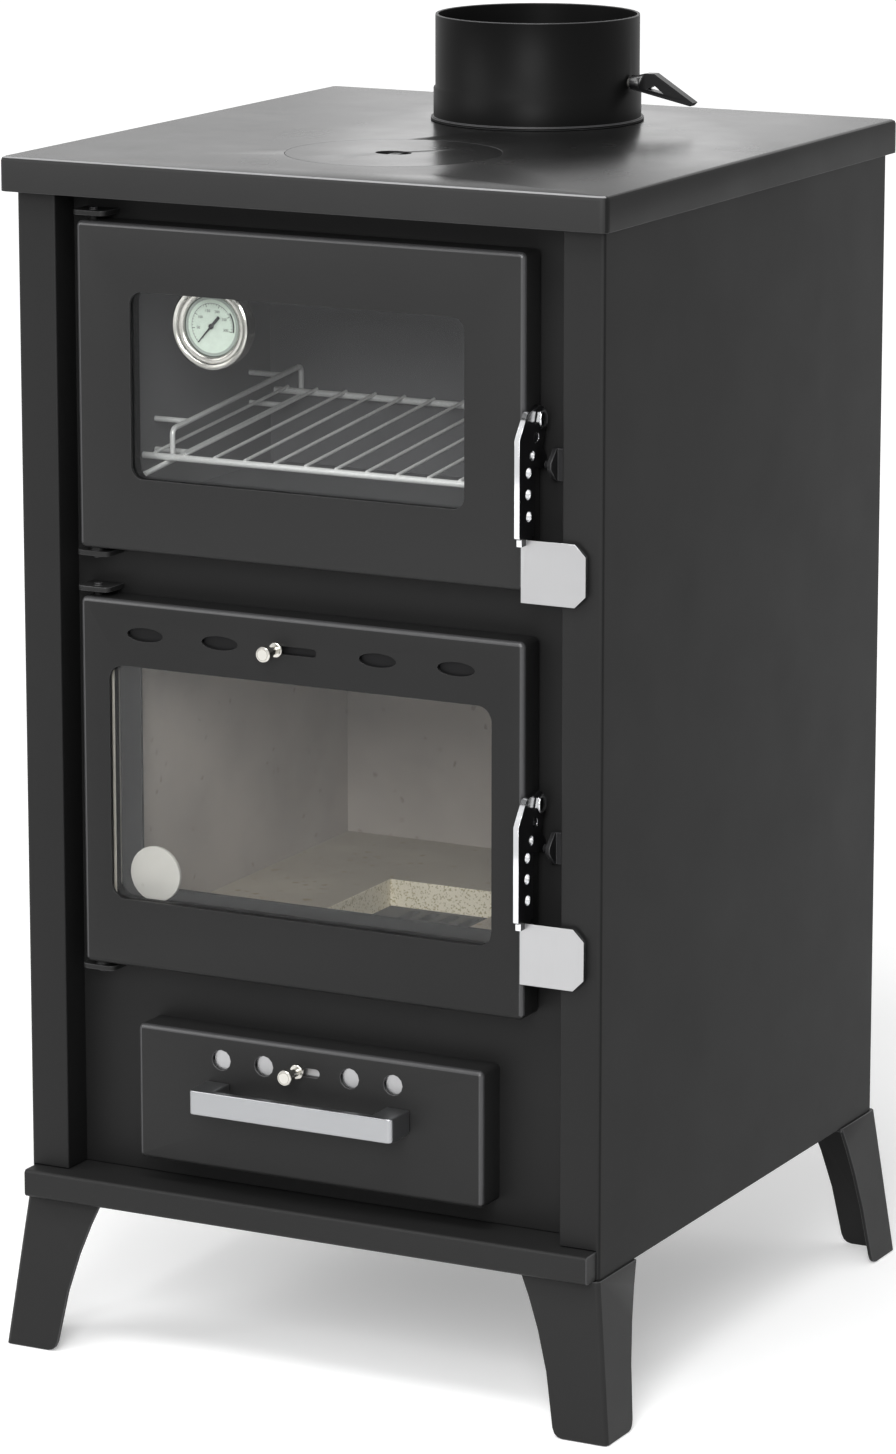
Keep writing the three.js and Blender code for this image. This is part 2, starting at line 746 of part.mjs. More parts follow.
// Gasket: one loop of rope between the inner frame and the front plate.
function makeDoorGasket(name, height) {
  const loop = (lap, corner) => rectangle(
    [-doorLeft + lap, doorRight - lap], [lap, height - lap], corner);
  const outside = gasketInset - gasketWidth / 2;
  const inside = gasketInset + gasketWidth / 2;
  const from = framePlane + sheet + seatGap;
  const ring = plate('y', loop(outside, gasketCorner), from, frontFace);
  const middle = plate('y', loop(inside, gasketCorner - gasketWidth), from - overrun, frontFace + overrun);
  return part(name, cut(ring, middle), rope);
}

// Latch lever: a shaped plate with five holes, pivoted near its top, and a flat grip at its foot.
function makeLatchHandle(name, latchRise) {
  const x0 = doorRight + latchGap;
  const x1 = x0 + latchSheet;
  const at = ([y, z]) => [latchPlane + y, latchRise + z];
  const front = -latchReach;
  const inner = front + latchBladeWidth;
  const crown = [0.1, 0.3, 0.5, 0.7].map((share) => {
    const angle = share * Math.PI;
    return [latchBoss * Math.cos(angle), latchBoss * Math.sin(angle)];
  });
  const tipZ = -latchLength;
  const profile = [
    [latchBoss, -latchBoss * 0.9], [latchBoss, 0],
    ...crown,
    [front * 0.6, latchBoss * 0.67], [front, -latchBoss * 1.2],
    [front, tipZ + edgeRadius / 2], [front + edgeRadius / 2, tipZ],
    [inner, tipZ],
    [inner, -latchNoseDrop - latchNoseHeight * 1.6], [inner, -latchNoseDrop],
    [latchNose, -latchNoseDrop - latchNoseHeight / 2], [latchNose, -latchNoseDrop + latchNoseHeight / 2],
    [latchBoss * 0.45, -latchNoseDrop + latchNoseHeight * 1.5],
  ];
  const blade = plate('x', outline(profile.map(at)), x0, x1);
  const holeShares = [[0.17, 0.154], [0.383, 0.301], [0.553, 0.442], [0.567, 0.628], [0.533, 0.82]];
  const holes = holeShares.map(([across, down]) => {
    const [y, z] = at([front * across, tipZ * down]);
    return rod('x', y, z, latchHoleRadius, x0 - overrun, x1 + overrun, 5);
  });
  const bore = rod('x', latchPlane, latchRise, boltRadius + seatGap, x0 - overrun, x1 + overrun);
  const gripTop = latchRise - gripDrop;
  const gripFront = latchPlane - gripReach;
  const [gripFoot, gripEnd] = [gripTop - gripHeight, x0 + gripWidth];
  const gripShape = outline([
    [x0, gripFoot], [gripEnd - gripCorner, gripFoot], [gripEnd, gripFoot + gripCorner],
    [gripEnd, gripTop - gripCorner], [gripEnd - gripCorner, gripTop], [x0, gripTop],
  ]);
  const grip = plate('y', gripShape, gripFront, gripFront + gripSheet);
  const tab = box([x0, x1], [latchPlane + front + gripSheet, latchPlane + inner - gripSheet],
    [gripTop - latchSheet, latchRise + tipZ + overrun]);
  return part(name, join(cut(blade, bore, ...holes), grip, tab), chrome);
}

function makeLatchBolt(name, latchRise) {
  const tip = doorRight + latchGap + latchSheet + seatGap;
  const inner = doorRight - doorSheet - seatGap;
  const head = turned('x', latchPlane, latchRise, [[0, tip], [boltHeadRadius, tip],
    [boltHeadRadius, tip + boltHeadLength / 3], [boltHeadRadius * 0.75, tip + boltHeadLength * 0.8],
    [boltHeadRadius * 0.35, tip + boltHeadLength], [0, tip + boltHeadLength]], 12);
  const shank = rod('x', latchPlane, latchRise, boltRadius, inner - overrun, tip + overrun / 2);
  const nut = rod('x', latchPlane, latchRise, nutRadius, inner - nutLength, inner, 2);
  return part(name, join(head, shank, nut), steel);
}

// Keeper: a bracket on the front plate beside the latch, whose pin ends beside the lever's nose.
function makeKeeper(name, latchZ) {
  const x0 = doorRight + latchGap + latchSheet + keeperGap;
  const x1 = x0 + keeperSheet;
  const top = latchZ - keeperDrop;
  const bottom = top - keeperHeight;
  const cheek = plate('x', outline([
    [frontFace, top], [frontFace - keeperDepth * 0.35, top], [frontFace - keeperDepth, top - keeperHeight * 0.4],
    [frontFace - keeperDepth, top - keeperHeight * 0.6], [frontFace - keeperDepth * 0.35, bottom], [frontFace, bottom],
  ]), x0, x1);
  const foot = box([x0, x1 + keeperSheet * 2], [frontFace - keeperSheet, frontFace], [bottom, top]);
  const pin = rod('x', frontFace - keeperDepth / 2, (top + bottom) / 2, keeperPinRadius,
    x0 - keeperGap + overrun * 2, x0 + overrun);
  return part(name, join(cheek, foot, pin), innerPaint);
}

// Hinge lug: a plate on the front plate, above or below a door, with the pin that enters the door.
function makeHingeLug(name, doorEdge, upwards) {
  const axisX = -doorLeft + hingeInset;
  const near = doorEdge + upwards * hingeLugGap;
  const far = near + upwards * hingeLugSheet;
  const ends = (a, b) => [Math.min(a, b), Math.max(a, b)];
  const shape = rectangle(
    [axisX - hingeLugLeft, axisX + hingeLugRight],
    [hingePlane - hingeLugFront, frontFace],
    [hingeLugCorner, hingeLugCorner, 0, 0],
  );
  const lug = plate('z', shape, ...ends(near, far));
  const pinEnd = doorEdge - upwards * hingePinReach;
  const pin = rod('z', axisX, hingePlane, hingePinRadius, ...ends(pinEnd, far + upwards * hingePinHead));
  if (upwards > 0) {
    return part(name, join(lug, pin), paint);
  }
  const bush = rod('z', axisX, hingePlane, hingeBushRadius, ...ends(doorEdge - seatGap, near - overrun));
  return part(name, join(lug, pin, bush), paint);
}

// Knob of an air slide: a turned head, a neck and a rosette, whose shank passes the slot in the front.
function makeSlideKnob(name, x, z) {
  const back = doorSheet;
  const face = -knobReach;
  const neck = face + knobHeadLength;
  const rosette = -seatGap - knobRosetteLength;
  return part(name, turned('y', x, z, [[0, face], [knobHeadRadius * 0.85, face],
    [knobHeadRadius, face + knobHeadLength * 0.15], [knobHeadRadius, face + knobHeadLength * 0.85],
    [knobNeckRadius, neck], [knobNeckRadius, rosette], [knobRosetteRadius, rosette],
    [knobRosetteRadius, -seatGap], [knobShankRadius, -seatGap], [knobShankRadius, back],
    [0, back]], 14), chrome);
}

// Slide: a strip behind the front with the same holes, which a knob moves across them.
function makeSlide(name, [x0, x1], line, holes) {
  const front = doorSheet + seatGap;
  const strip = box([x0, x1], [front, front + slideSheet], [line - slideHeight / 2, line + slideHeight / 2]);
  return part(name, cut(strip, ...holes(front - overrun, front + slideSheet + overrun)), steel);
}

// The window of a door: its shape, made larger all round by a lap.
function windowOf(height, margins, corner) {
  const x = [-doorLeft + margins.left, doorRight - margins.right];
  const z = [margins.foot, height - margins.head];
  return {
    shape: (lap) => rectangle([x[0] - lap, x[1] + lap], [z[0] - lap, z[1] + lap], corner + lap / 4),
  };
}

// Oven

function makeOvenBox() {
  const half = ovenInsideWidth / 2;
  const back = plateBack + ovenInsideDepth;
  const outside = box([-half - sheet, half + sheet], [behindPlate, back + sheet],
    [ovenFloor - sheet, ovenFloor + ovenInsideHeight + sheet]);
  const inside = box([-half, half], [behindPlate - overrun, back], [ovenFloor, ovenFloor + ovenInsideHeight]);
  return part('oven_box', cut(outside, inside), innerPaint);
}

// Height of the rack's plane at a place between its front and back.
const rackZ = (y) => rackFrontZ + (y - rackFrontY) * Math.tan(rackTilt);

function makeOvenRack() {
  const half = rackWidth / 2;
  const back = rackFrontY + rackDepth;
  const bar = (y) => wire([-half, y, rackZ(y)], [half, y, rackZ(y)], rackBarRadius, 8);
  const over = (y) => rackZ(y) + rackBarRadius;
  const wires = Array.from({ length: rackWireCount }, (unused, i) => {
    const x = (i - (rackWireCount - 1) / 2) * rackWirePitch;
    return wire([x, rackFrontY - rackWireRadius, over(rackFrontY)], [x, back + rackWireRadius, over(back)], rackWireRadius, 6);
  });
  return part('oven_rack', join(bar(rackFrontY), bar(back), ...wires), chrome);
}

// Runner of the rack: a bent wire frame on the oven's side wall, under and over the rack's bars.
function makeRackRunner(name, side) {
  const wall = ovenInsideWidth / 2;
  const x = side * (wall - runnerInset);
  const back = rackFrontY + rackDepth;
  const drop = (rackBarRadius + runnerWireRadius + seatGap) / Math.cos(rackTilt);
  const low = (y) => [x, y, rackZ(y) - drop];
  const high = (y) => [x, y, rackZ(y) - drop + runnerRise];
  const front = plateBack + runnerFront;
  const post = rackFrontY + runnerPost;
  const tail = back + runnerTail;
  const stay = (y, lift) => wire(
    [x, y, rackZ(y) - drop + lift], [side * (wall - seatGap), y, rackZ(y) - drop + lift], runnerWireRadius);
  return part(name, join(
    wire(low(front), low(tail), runnerWireRadius),
    wire(high(post), high(tail), runnerWireRadius),
    wire(low(post), high(post), runnerWireRadius),
    wire(low(tail), high(tail), runnerWireRadius),
    stay(post + runnerRise, 0), stay(back - runnerRise, 0),
    stay(post + runnerRise, runnerRise), stay(back - runnerRise, runnerRise),
  ), chrome);
}

// Thermometer: a round case hung from the inner frame of the oven door, behind the glass.

const dialFront = framePlane + sheet + seatGap;
const dialFloor = dialFront + dialSink;

function makeThermometerCase() {
  const back = dialFront + dialCaseDepth;
  return part('thermometer_case', turned('y', -dialCentreX, dialCentreZ, [[0, back], [dialCaseRadius, back],
    [dialCaseRadius, dialFront], [dialCaseRadius - dialRimWidth, dialFront], [dialRadius, dialFloor - dialSheet],
    [dialRadius, back - dialCaseWall], [0, back - dialCaseWall]], 32), chrome);
}

function makeThermometerDial() {
  return part('thermometer_dial', rod('y', -dialCentreX, dialCentreZ, dialRadius - seatGap,
    dialFloor, dialFloor + dialSheet, 12), dialFace);
}

function makeThermometerNeedle() {
  const back = dialFloor - seatGap;
  const front = back - needleSheet;
  const blade = outline([
    [-needleTail, -needleTailWidth / 2], [-needleTail * 0.3, -needleTailWidth / 2],
    [0, -needleWidth / 2], [needleLength, -needleWidth / 4],
    [needleLength, needleWidth / 4], [0, needleWidth / 2],
    [-needleTail * 0.3, needleTailWidth / 2], [-needleTail, needleTailWidth / 2],
  ]);
  const turn = [0, -THREE.MathUtils.radToDeg(needleRest), 0];
  const needle = join(plate('y', blade, front, back), rod('y', 0, 0, needleHubRadius, back - needleHubHeight, back, 6));
  return part('thermometer_needle', needle.rotate(turn).translate([-dialCentreX, 0, dialCentreZ]), needlePaint);
}

function makeThermometerBracket() {
  const x = [-dialCentreX - bracketWidth / 2, -dialCentreX + bracketWidth / 2];
  const shelf = dialCentreZ + dialCaseRadius + bracketClear;
  const behind = dialFront + dialCaseDepth + seatGap;
  return part('thermometer_bracket', join(
    box(x, [dialFront, dialFront + sheet], [shelf, shelf + bracketFlange]),
    box(x, [dialFront, behind + sheet], [shelf, shelf + sheet]),
    box(x, [behind, behind + sheet], [shelf - bracketDrop, shelf + sheet]),
  ), steel);
}

// Firebox

const fireboxSeat = fireboxFloor + fireboxPlate + seatGap;
const shellHalf = shellInsideWidth / 2;
const liningOuter = shellHalf - seatGap;
const liningInner = liningOuter - liningThickness;
const liningBack = shellDepth - shellSheet - seatGap;
const liningMiddle = liningBack - backLining - seatGap;
const floorOpening = {
  x: ashHoleWidth / 2 + grateRest + seatGap,
  y: [ashHoleFront - grateRest, ashHoleFront + ashHoleDepth + grateRest],
};

function makeFireboxBase() {
  const sheetBody = box([-traySide, traySide], [behindPlate, backFace - seatGap],
    [fireboxFloor, fireboxFloor + fireboxPlate]);
  const hole = box([-ashHoleWidth / 2, ashHoleWidth / 2], [ashHoleFront, ashHoleFront + ashHoleDepth],
    [fireboxFloor - overrun, fireboxFloor + fireboxPlate + overrun]);
  return part('firebox_base', cut(sheetBody, hole), innerPaint);
}

function makeFireboxShell() {
  const top = ovenFloor - sheet - seatGap;
  const outside = box([-shellHalf - shellSheet, shellHalf + shellSheet], [behindPlate, shellDepth], [fireboxSeat, top]);
  const inside = box([-shellHalf, shellHalf], [behindPlate - overrun, shellDepth - shellSheet],
    [fireboxSeat - overrun, top + overrun]);
  return part('firebox_shell', cut(outside, inside), innerPaint);
}

function makeSideLining(name, side) {
  const x = side > 0 ? [liningInner, liningOuter] : [-liningOuter, -liningInner];
  return part(name, box(x, [liningFront, liningMiddle], [fireboxSeat, liningTop]), liningBoard);
}

function makeBackLining() {
  const board = box([-liningOuter, liningOuter], [liningMiddle + seatGap, liningBack], [fireboxSeat, liningTop]);
  return part('lining_back', board, liningBoard);
}

function makeFloorLining() {
  const inner = liningInner - seatGap;
  const top = fireboxSeat + liningThickness;
  const board = box([-inner, inner], [liningFront, liningMiddle], [fireboxSeat, top]);
  const hole = box([-floorOpening.x, floorOpening.x], floorOpening.y, [fireboxSeat - overrun, top + overrun]);
  return part('lining_floor', cut(board, hole), vermiculite);
}

function makeBaffleBoard() {
  const half = liningOuter - seatGap;
  const bottom = liningTop + seatGap;
  return part('baffle_board', box([-half, half], [baffleFront, liningMiddle], [bottom, bottom + baffleThickness]),
    vermiculite);
}

// Grate: a cast plate in the floor opening, with staggered rows of slots.
function makeGrate() {
  const half = floorOpening.x - seatGap;
  const front = floorOpening.y[0] + seatGap;
  const back = floorOpening.y[1] - seatGap;
  const top = fireboxSeat + grateThickness;
  const rowPitch = (back - front) / grateSlotRows;
  const slots = [];
  for (let row = 0; row < grateSlotRows; row += 1) {
    const middle = front + (row + 0.5) * rowPitch;
    const count = Math.floor((2 * half - grateSlotWidth) / grateSlotPitch) - (row % 2);
    for (let i = 0; i < count; i += 1) {
      const x = (i - (count - 1) / 2) * grateSlotPitch;
      const shape = rectangle(
        [x - grateSlotWidth / 2, x + grateSlotWidth / 2],
        [middle - grateSlotLength / 2, middle + grateSlotLength / 2],
        grateSlotWidth * 0.45,
      );
      slots.push(plate('z', shape, fireboxSeat - overrun, top + overrun, 1));
    }
  }
  return part('grate', cut(box([-half, half], [front, back], [fireboxSeat, top]), ...slots), castIron);
}

function makeLiningKeeper() {
  const disc = rod('y', -keeperDiscX, keeperDiscZ, keeperDiscRadius, frontFace - heavySheet, frontFace, 12);
  return part('lining_keeper', disc, vermiculite);
}

// Ash drawer, built on z = 0 at its lower edge

const drawerHalf = drawerWidth / 2;
const ventPlaceShares = [-0.507, -0.258, 0.24, 0.49];
const ventPlaces = ventPlaceShares.map((share) => share * drawerHalf);
const ventEnd = ventPlaces[3] + drawerVentRadius * 2;
const drawerTrack = [
  -drawerKnobLeft - airSlotHeight / 2,
  -drawerKnobLeft + drawerVentTravel + airSlotHeight / 2,
];

function makeDrawerFront() {
  const shape = rectangle([-drawerHalf, drawerHalf], [0, drawerHeight], doorCorner);
  const face = softPlate('y', shape, 0, frontFace, edgeRadius);
  const hollow = box([-drawerHalf + doorSheet, drawerHalf - doorSheet], [doorSheet, frontFace + overrun],
    [doorSheet, drawerHeight - doorSheet]);
  const front = [-overrun, doorSheet + overrun];
  const holes = ventPlaces.map((x) => rod('y', x, drawerVentLine, drawerVentRadius, ...front, 6));
  const track = slot(...drawerTrack, drawerVentLine, airSlotHeight, ...front);
  const reach = ventEnd + drawerVentTravel + drawerVentRadius;
  const rails = slideRails([-reach, reach], drawerVentLine);
  return part('drawer_front', cut(join(cut(face, hollow), ...rails), ...holes, track), paint);
}

function makeAshPan() {
  const half = drawerHalf - drawerMouthLap - panMargin;
  const bottom = panFloor - drawerBottom;
  const front = doorSheet + seatGap;
  const outside = box([-half, half], [front, front + panLength], [bottom, bottom + panHeight]);
  const inside = box([-half + panSheet, half - panSheet], [front + panSheet, front + panLength - panSheet],
    [bottom + panSheet, bottom + panHeight + overrun]);
  return part('ash_pan', cut(outside, inside), steel);
}

function makeDrawerHandle() {
  const half = drawerHandleLength / 2;
  const shape = rectangle([-half, half], [-drawerHandleReach, -seatGap],
    [drawerHandleCorner, drawerHandleCorner, 0, 0]);
  const gap = box([-half + drawerHandlePost, half - drawerHandlePost], [-drawerHandleReach + drawerHandleBar, 0],
    [0, drawerHeight]);
  const body = plate('z', shape, drawerHandleRise, drawerHandleRise + drawerHandleHeight);
  return part('drawer_handle', cut(body, gap), steel);
}

function makePanRunner(name, side) {
  const outer = drawerHalf - drawerMouthLap - panRunnerInset;
  const x = side > 0 ? [outer - panRunnerWidth, outer] : [-outer, -outer + panRunnerWidth];
  const y = [behindPlate, behindPlate + panRunnerLength];
  const z = [trayTop + seatGap, panFloor - seatGap];
  const body = box(x, y, z);
  const hollow = box([x[0] + sheet, x[1] - sheet], [y[0] - overrun, y[1] + overrun], [z[0] - overrun, z[1] - sheet]);
  return part(name, cut(body, hollow), steel);
}

// The stove

const ovenWindow = windowOf(ovenDoorHeight, ovenWindowMargins, ovenWindowCorner);
const fireWindow = windowOf(fireDoorHeight, fireWindowMargins, fireWindowCorner);

const airPlaceShares = [-0.735, -0.391, 0.322, 0.67];
const doorHalf = (doorLeft + doorRight) / 2;
const air = {
  holes: airPlaceShares.map((share) => share * doorHalf),
  track: [-airKnobLeft - airSlotHeight / 2, -airKnobLeft + airTravel + airSlotHeight / 2],
};
const airHolesRest = air.holes.map((x) => x - airTravel);
const airEnds = [-doorLeft + doorSheet + overrun, doorRight - doorSheet - airTravel - slideEnd];
const ventEnds = [ventPlaces[0] - drawerVentTravel - drawerVentRadius * 1.5, ventPlaces[3] + drawerVentRadius * 1.6];

function makeOvenDoor() {
  return group([
    makeDoorShell('oven_door_shell', ovenDoorHeight, ovenWindow, ovenLatchRise),
    makeDoorGlass('oven_door_glass', ovenWindow),
    makeDoorFrame('oven_door_frame', ovenDoorHeight, ovenWindow, ovenLatchRise),
    makeDoorGasket('oven_door_gasket', ovenDoorHeight),
    makeLatchHandle('oven_door_handle', ovenLatchRise),
    makeLatchBolt('oven_door_bolt', ovenLatchRise),
    makeThermometerCase(),
    makeThermometerDial(),
    makeThermometerNeedle(),
    makeThermometerBracket(),
  ], ovenDoorBottom);
}

function makeFireDoor() {
  const airHoles = (from, to) => airHolesRest.map((x) => oval(x, airLine, from, to));
  return group([
    makeDoorShell('fire_door_shell', fireDoorHeight, fireWindow, fireLatchRise, air),
    makeDoorGlass('fire_door_glass', fireWindow),
    makeDoorFrame('fire_door_frame', fireDoorHeight, fireWindow, fireLatchRise),
    makeDoorGasket('fire_door_gasket', fireDoorHeight),
    makeLatchHandle('fire_door_handle', fireLatchRise),
    makeLatchBolt('fire_door_bolt', fireLatchRise),
    makeSlide('air_shutter', airEnds, airLine, airHoles),
    makeSlideKnob('air_knob', -airKnobLeft, airLine),
  ], fireDoorBottom);
}

function makeAshDrawer() {
  const vents = (from, to) => ventPlaces.map(
    (x) => rod('y', x - drawerVentTravel, drawerVentLine, drawerVentRadius, from, to, 6));
  return group([
    makeDrawerFront(),
    makeAshPan(),
    makeDrawerHandle(),
    makeSlide('drawer_shutter', ventEnds, drawerVentLine, vents),
    makeSlideKnob('drawer_knob', -drawerKnobLeft, drawerVentLine),
  ], drawerBottom);
}

const casing = group([
  makeBaseTray(),
  makeLeg('leg_front_left', -1, -1),
  makeLeg('leg_front_right', 1, -1),
  makeLeg('leg_rear_left', -1, 1),
  makeLeg('leg_rear_right', 1, 1),
  makeSidePanel('side_panel_left', -1),
  makeSidePanel('side_panel_right', 1),
  makeBackPanel(),
  makeFrontPlate(),
  makeTopPlate(),
  makeHobLid(),
  makeFlueCollar(),
  makeDamperDisc(),
  makeDamperLever(),
]);

const firebox = group([
  makeFireboxBase(),
  makeFireboxShell(),
  makeSideLining('lining_left', -1),
  makeSideLining('lining_right', 1),
  makeBackLining(),
  makeFloorLining(),
  makeGrate(),
  makeBaffleBoard(),
  makeLiningKeeper(),
]);

const oven = group([
  makeOvenBox(),
  makeRackRunner('rack_runner_left', -1),
  makeRackRunner('rack_runner_right', 1),
  makeOvenRack(),
]);

const hardware = group([
  makeKeeper('oven_door_keeper', ovenDoorBottom + ovenLatchRise),
  makeKeeper('fire_door_keeper', fireDoorBottom + fireLatchRise),
  makeHingeLug('hinge_oven_top', ovenDoorBottom + ovenDoorHeight, 1),
  makeHingeLug('hinge_oven_bottom', ovenDoorBottom, -1),
  makeHingeLug('hinge_fire_top', fireDoorBottom + fireDoorHeight, 1),
  makeHingeLug('hinge_fire_bottom', fireDoorBottom, -1),
  makePanRunner('pan_runner_left', -1),
  makePanRunner('pan_runner_right', 1),
]);

const stove = group([casing, firebox, oven, hardware, makeOvenDoor(), makeFireDoor(), makeAshDrawer()]);
const frontEnd = -drawerHandleReach;
const backEnd = bodyDepth + legTopForward + legSplayFront;
stove.position.y = -(frontEnd + backEnd) / 2;

export default stove;
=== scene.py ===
"""Looks of a wood-burning stove with an oven: finishes, fine pieces, lights and the camera.

Lengths are in millimetres where a name says so or where they pass through mm(); Blender works in metres.
X runs to the right of somebody facing the doors, Y from the doors to the back, Z up from the floor.
"""

import json
import math

import bmesh
import bpy
from mathutils import Matrix, Vector


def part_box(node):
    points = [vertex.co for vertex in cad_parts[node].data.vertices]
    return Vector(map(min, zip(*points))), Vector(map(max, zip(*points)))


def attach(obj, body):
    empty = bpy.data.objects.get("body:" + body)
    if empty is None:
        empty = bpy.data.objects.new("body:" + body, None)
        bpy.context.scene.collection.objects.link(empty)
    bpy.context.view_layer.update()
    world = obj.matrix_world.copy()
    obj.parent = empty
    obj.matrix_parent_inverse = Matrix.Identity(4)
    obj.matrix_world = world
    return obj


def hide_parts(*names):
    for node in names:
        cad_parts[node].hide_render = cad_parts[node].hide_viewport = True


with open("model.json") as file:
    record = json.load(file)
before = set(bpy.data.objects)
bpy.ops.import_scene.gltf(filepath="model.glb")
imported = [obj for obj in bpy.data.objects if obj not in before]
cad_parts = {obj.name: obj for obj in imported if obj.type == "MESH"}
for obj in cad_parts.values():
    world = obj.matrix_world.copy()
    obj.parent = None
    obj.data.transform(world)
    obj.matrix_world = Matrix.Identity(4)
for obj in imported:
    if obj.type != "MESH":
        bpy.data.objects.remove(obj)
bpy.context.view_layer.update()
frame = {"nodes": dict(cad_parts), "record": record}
nodes = frame["nodes"]
BODY_OF = {
    node: body
    for body, group in frame["record"]["behaviour"]["bodies"].items()
    for node in group
}


def mm(*values):
    """Millimetres to metres: one number, or a tuple of them."""
    return values[0] / 1000 if len(values) == 1 else tuple(v / 1000 for v in values)


# Camera, fitted to the edges of the body, doors, hob and drawer in the photograph

CAMERA_PLACE_MM = (1895.3, -3669.5, 1361.2)
CAMERA_TURN_DEG = 27.414
CAMERA_TILT_DEG = 12.711
FOCAL_PIXELS = 5889.8
PHOTO_HEIGHT_PIXELS = 1454
SENSOR_MM = 36
SIGHT_M = 50


def make_camera():
    camera = bpy.data.objects.new("camera", bpy.data.cameras.new("camera"))
    camera.data.sensor_width = SENSOR_MM
    camera.data.lens = FOCAL_PIXELS * SENSOR_MM / PHOTO_HEIGHT_PIXELS
    camera.data.clip_end = SIGHT_M
    camera.location = mm(*CAMERA_PLACE_MM)
    camera.rotation_euler = (math.radians(90 - CAMERA_TILT_DEG), 0, math.radians(CAMERA_TURN_DEG))
    bpy.context.collection.objects.link(camera)
    bpy.context.scene.camera = camera


# Mesh helpers

WELD_M = 1e-6
FLAT_DEG = 1
SMOOTH_DEG = 50
TURNED_SMOOTH_DEG = 35
BEVEL_SEGMENTS = 2
BEVEL_LIMIT_DEG = 60
BEND_STEPS = 6
CORNER_STEPS = 8
WIRE_RESOLUTION = 4

# Least part of a normal along an axis, on a face that looks that way and on one square to the axis
FACING, SQUARE = 0.7, 0.95

# Least and most part of it on the bends of folded sheet
FOLD_MIN, FOLD_MAX = 0.2, 0.96

# The end of a node that a height is measured from: the lower or the higher one along its axis
LOW, HIGH = 0, 1


def link(name, mesh, body, material):
    """Makes a piece from a mesh, on a body, with its finish."""
    piece = bpy.data.objects.new(name, mesh)
    bpy.context.collection.objects.link(piece)
    mesh.materials.clear()
    mesh.materials.append(material)
    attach(piece, body)
    return piece


def mesh_of(name, bm, smooth_deg=SMOOTH_DEG):
    bmesh.ops.recalc_face_normals(bm, faces=bm.faces)
    mesh = bpy.data.meshes.new(name)
    bm.to_mesh(mesh)
    bm.free()
    mesh.shade_smooth()
    mesh.set_sharp_from_angle(angle=math.radians(smooth_deg))
    return mesh


def bevel(piece, width_mm):
    """Rounds the piece's sharp edges, so that they catch the light as a bent or cut edge does."""
    rounding = piece.modifiers.new("edges", "BEVEL")
    rounding.width = mm(width_mm)
    rounding.segments = BEVEL_SEGMENTS
    rounding.limit_method = "ANGLE"
    rounding.angle_limit = math.radians(BEVEL_LIMIT_DEG)
    rounding.harden_normals = True


def paint_faces(piece, index, wanted):
    """Gives the piece's finish with that index to the faces whose normals are wanted."""
    for face in piece.data.polygons:
        if wanted(face.normal):
            face.material_index = index


def repaint(piece, material, wanted):
    """Gives another finish to the faces whose normals are wanted."""
    piece.data.materials.append(material)
    paint_faces(piece, len(piece.data.materials) - 1, wanted)


def is_highlight_fold(normal):
    """True on the bends round a folded front, except those that face down: the bends given a painted
    highlight.
    """
    return FOLD_MIN < abs(normal.y) < FOLD_MAX and normal.z > -FOLD_MIN


def refine(node, material, width_mm, edge_highlight=None, highlight_folds=False):
    """A finer skin over a CAD node: flat faces joined, small edges rounded, curved faces smooth.

    The fourth argument is a second, lighter material for the rounded edges: a painted highlight. With the
    last argument that painted highlight also covers the bends of the sheet that the node already has,
    except those that face down.
    """
    bm = bmesh.new()
    bm.from_mesh(nodes[node].data)
    bmesh.ops.remove_doubles(bm, verts=bm.verts, dist=WELD_M)
    bmesh.ops.dissolve_limit(bm, angle_limit=math.radians(FLAT_DEG), verts=bm.verts, edges=bm.edges)
    name = node + "_skin"
    piece = link(name, mesh_of(name, bm), BODY_OF[node], material)
    bevel(piece, width_mm)
    if edge_highlight:
        piece.data.materials.append(edge_highlight)
        piece.modifiers["edges"].material = 1
    if highlight_folds:
        paint_faces(piece, 1, is_highlight_fold)
    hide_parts(node)
    return piece


def axis_frame(axis):
    """Turns a shape made along Z so that it runs along X or Y."""
    return {
        "x": Matrix.Rotation(math.radians(90), 4, "Y"),
        "y": Matrix.Rotation(math.radians(-90), 4, "X"),
    }[axis]


def from_ends(rows_mm, low_mm, high_mm):
    """Turns rows of (radius, end, offset) into (radius, height), each measured from the end it names."""
    ends = low_mm, high_mm
    return [(radius, ends[end] + offset) for radius, end, offset in rows_mm]


def lathe(bm, profile_mm, centre, axis, steps):
    """Turns a profile of (radius, height) about an axis through a centre given in metres."""
    place = Matrix.Translation(centre) @ axis_frame(axis)
    rings = []
    for radius, height in profile_mm:
        if radius == 0:
            rings.append([bm.verts.new(place @ Vector((0, 0, mm(height))))])
            continue
        ring = []
        for i in range(steps):
            turn = 2 * math.pi * i / steps
            spot = Vector((mm(radius) * math.cos(turn), mm(radius) * math.sin(turn), mm(height)))
            ring.append(bm.verts.new(place @ spot))
        rings.append(ring)
    closed = profile_mm[0][0] > 0
    pairs = list(zip(rings, rings[1:])) + ([(rings[-1], rings[0])] if closed else [])
    for low, high in pairs:
        for i in range(steps):
            j = (i + 1) % steps
            corners = [low[i % len(low)], low[j % len(low)], high[j % len(high)], high[i % len(high)]]
            kept = [v for k, v in enumerate(corners) if v not in corners[:k]]
            if len(kept) > 2:
                bm.faces.new(kept)
    return bm


def slab(bm, outline, low, high, axis):
    """Pushes a flat outline, in metres across X or Y, from low to high along that axis."""
    spots = {
        "x": lambda u, v, w: (w, u, v),
        "y": lambda u, v, w: (u, w, v),
    }[axis]
    base = [bm.verts.new(spots(u, v, low)) for u, v in outline]
    top = [bm.verts.new(spots(u, v, high)) for u, v in outline]
    bm.faces.new(base)
    bm.faces.new(list(reversed(top)))
    for i in range(len(base)):
        j = (i + 1) % len(base)
        bm.faces.new([base[i], base[j], top[j], top[i]])
    return bm


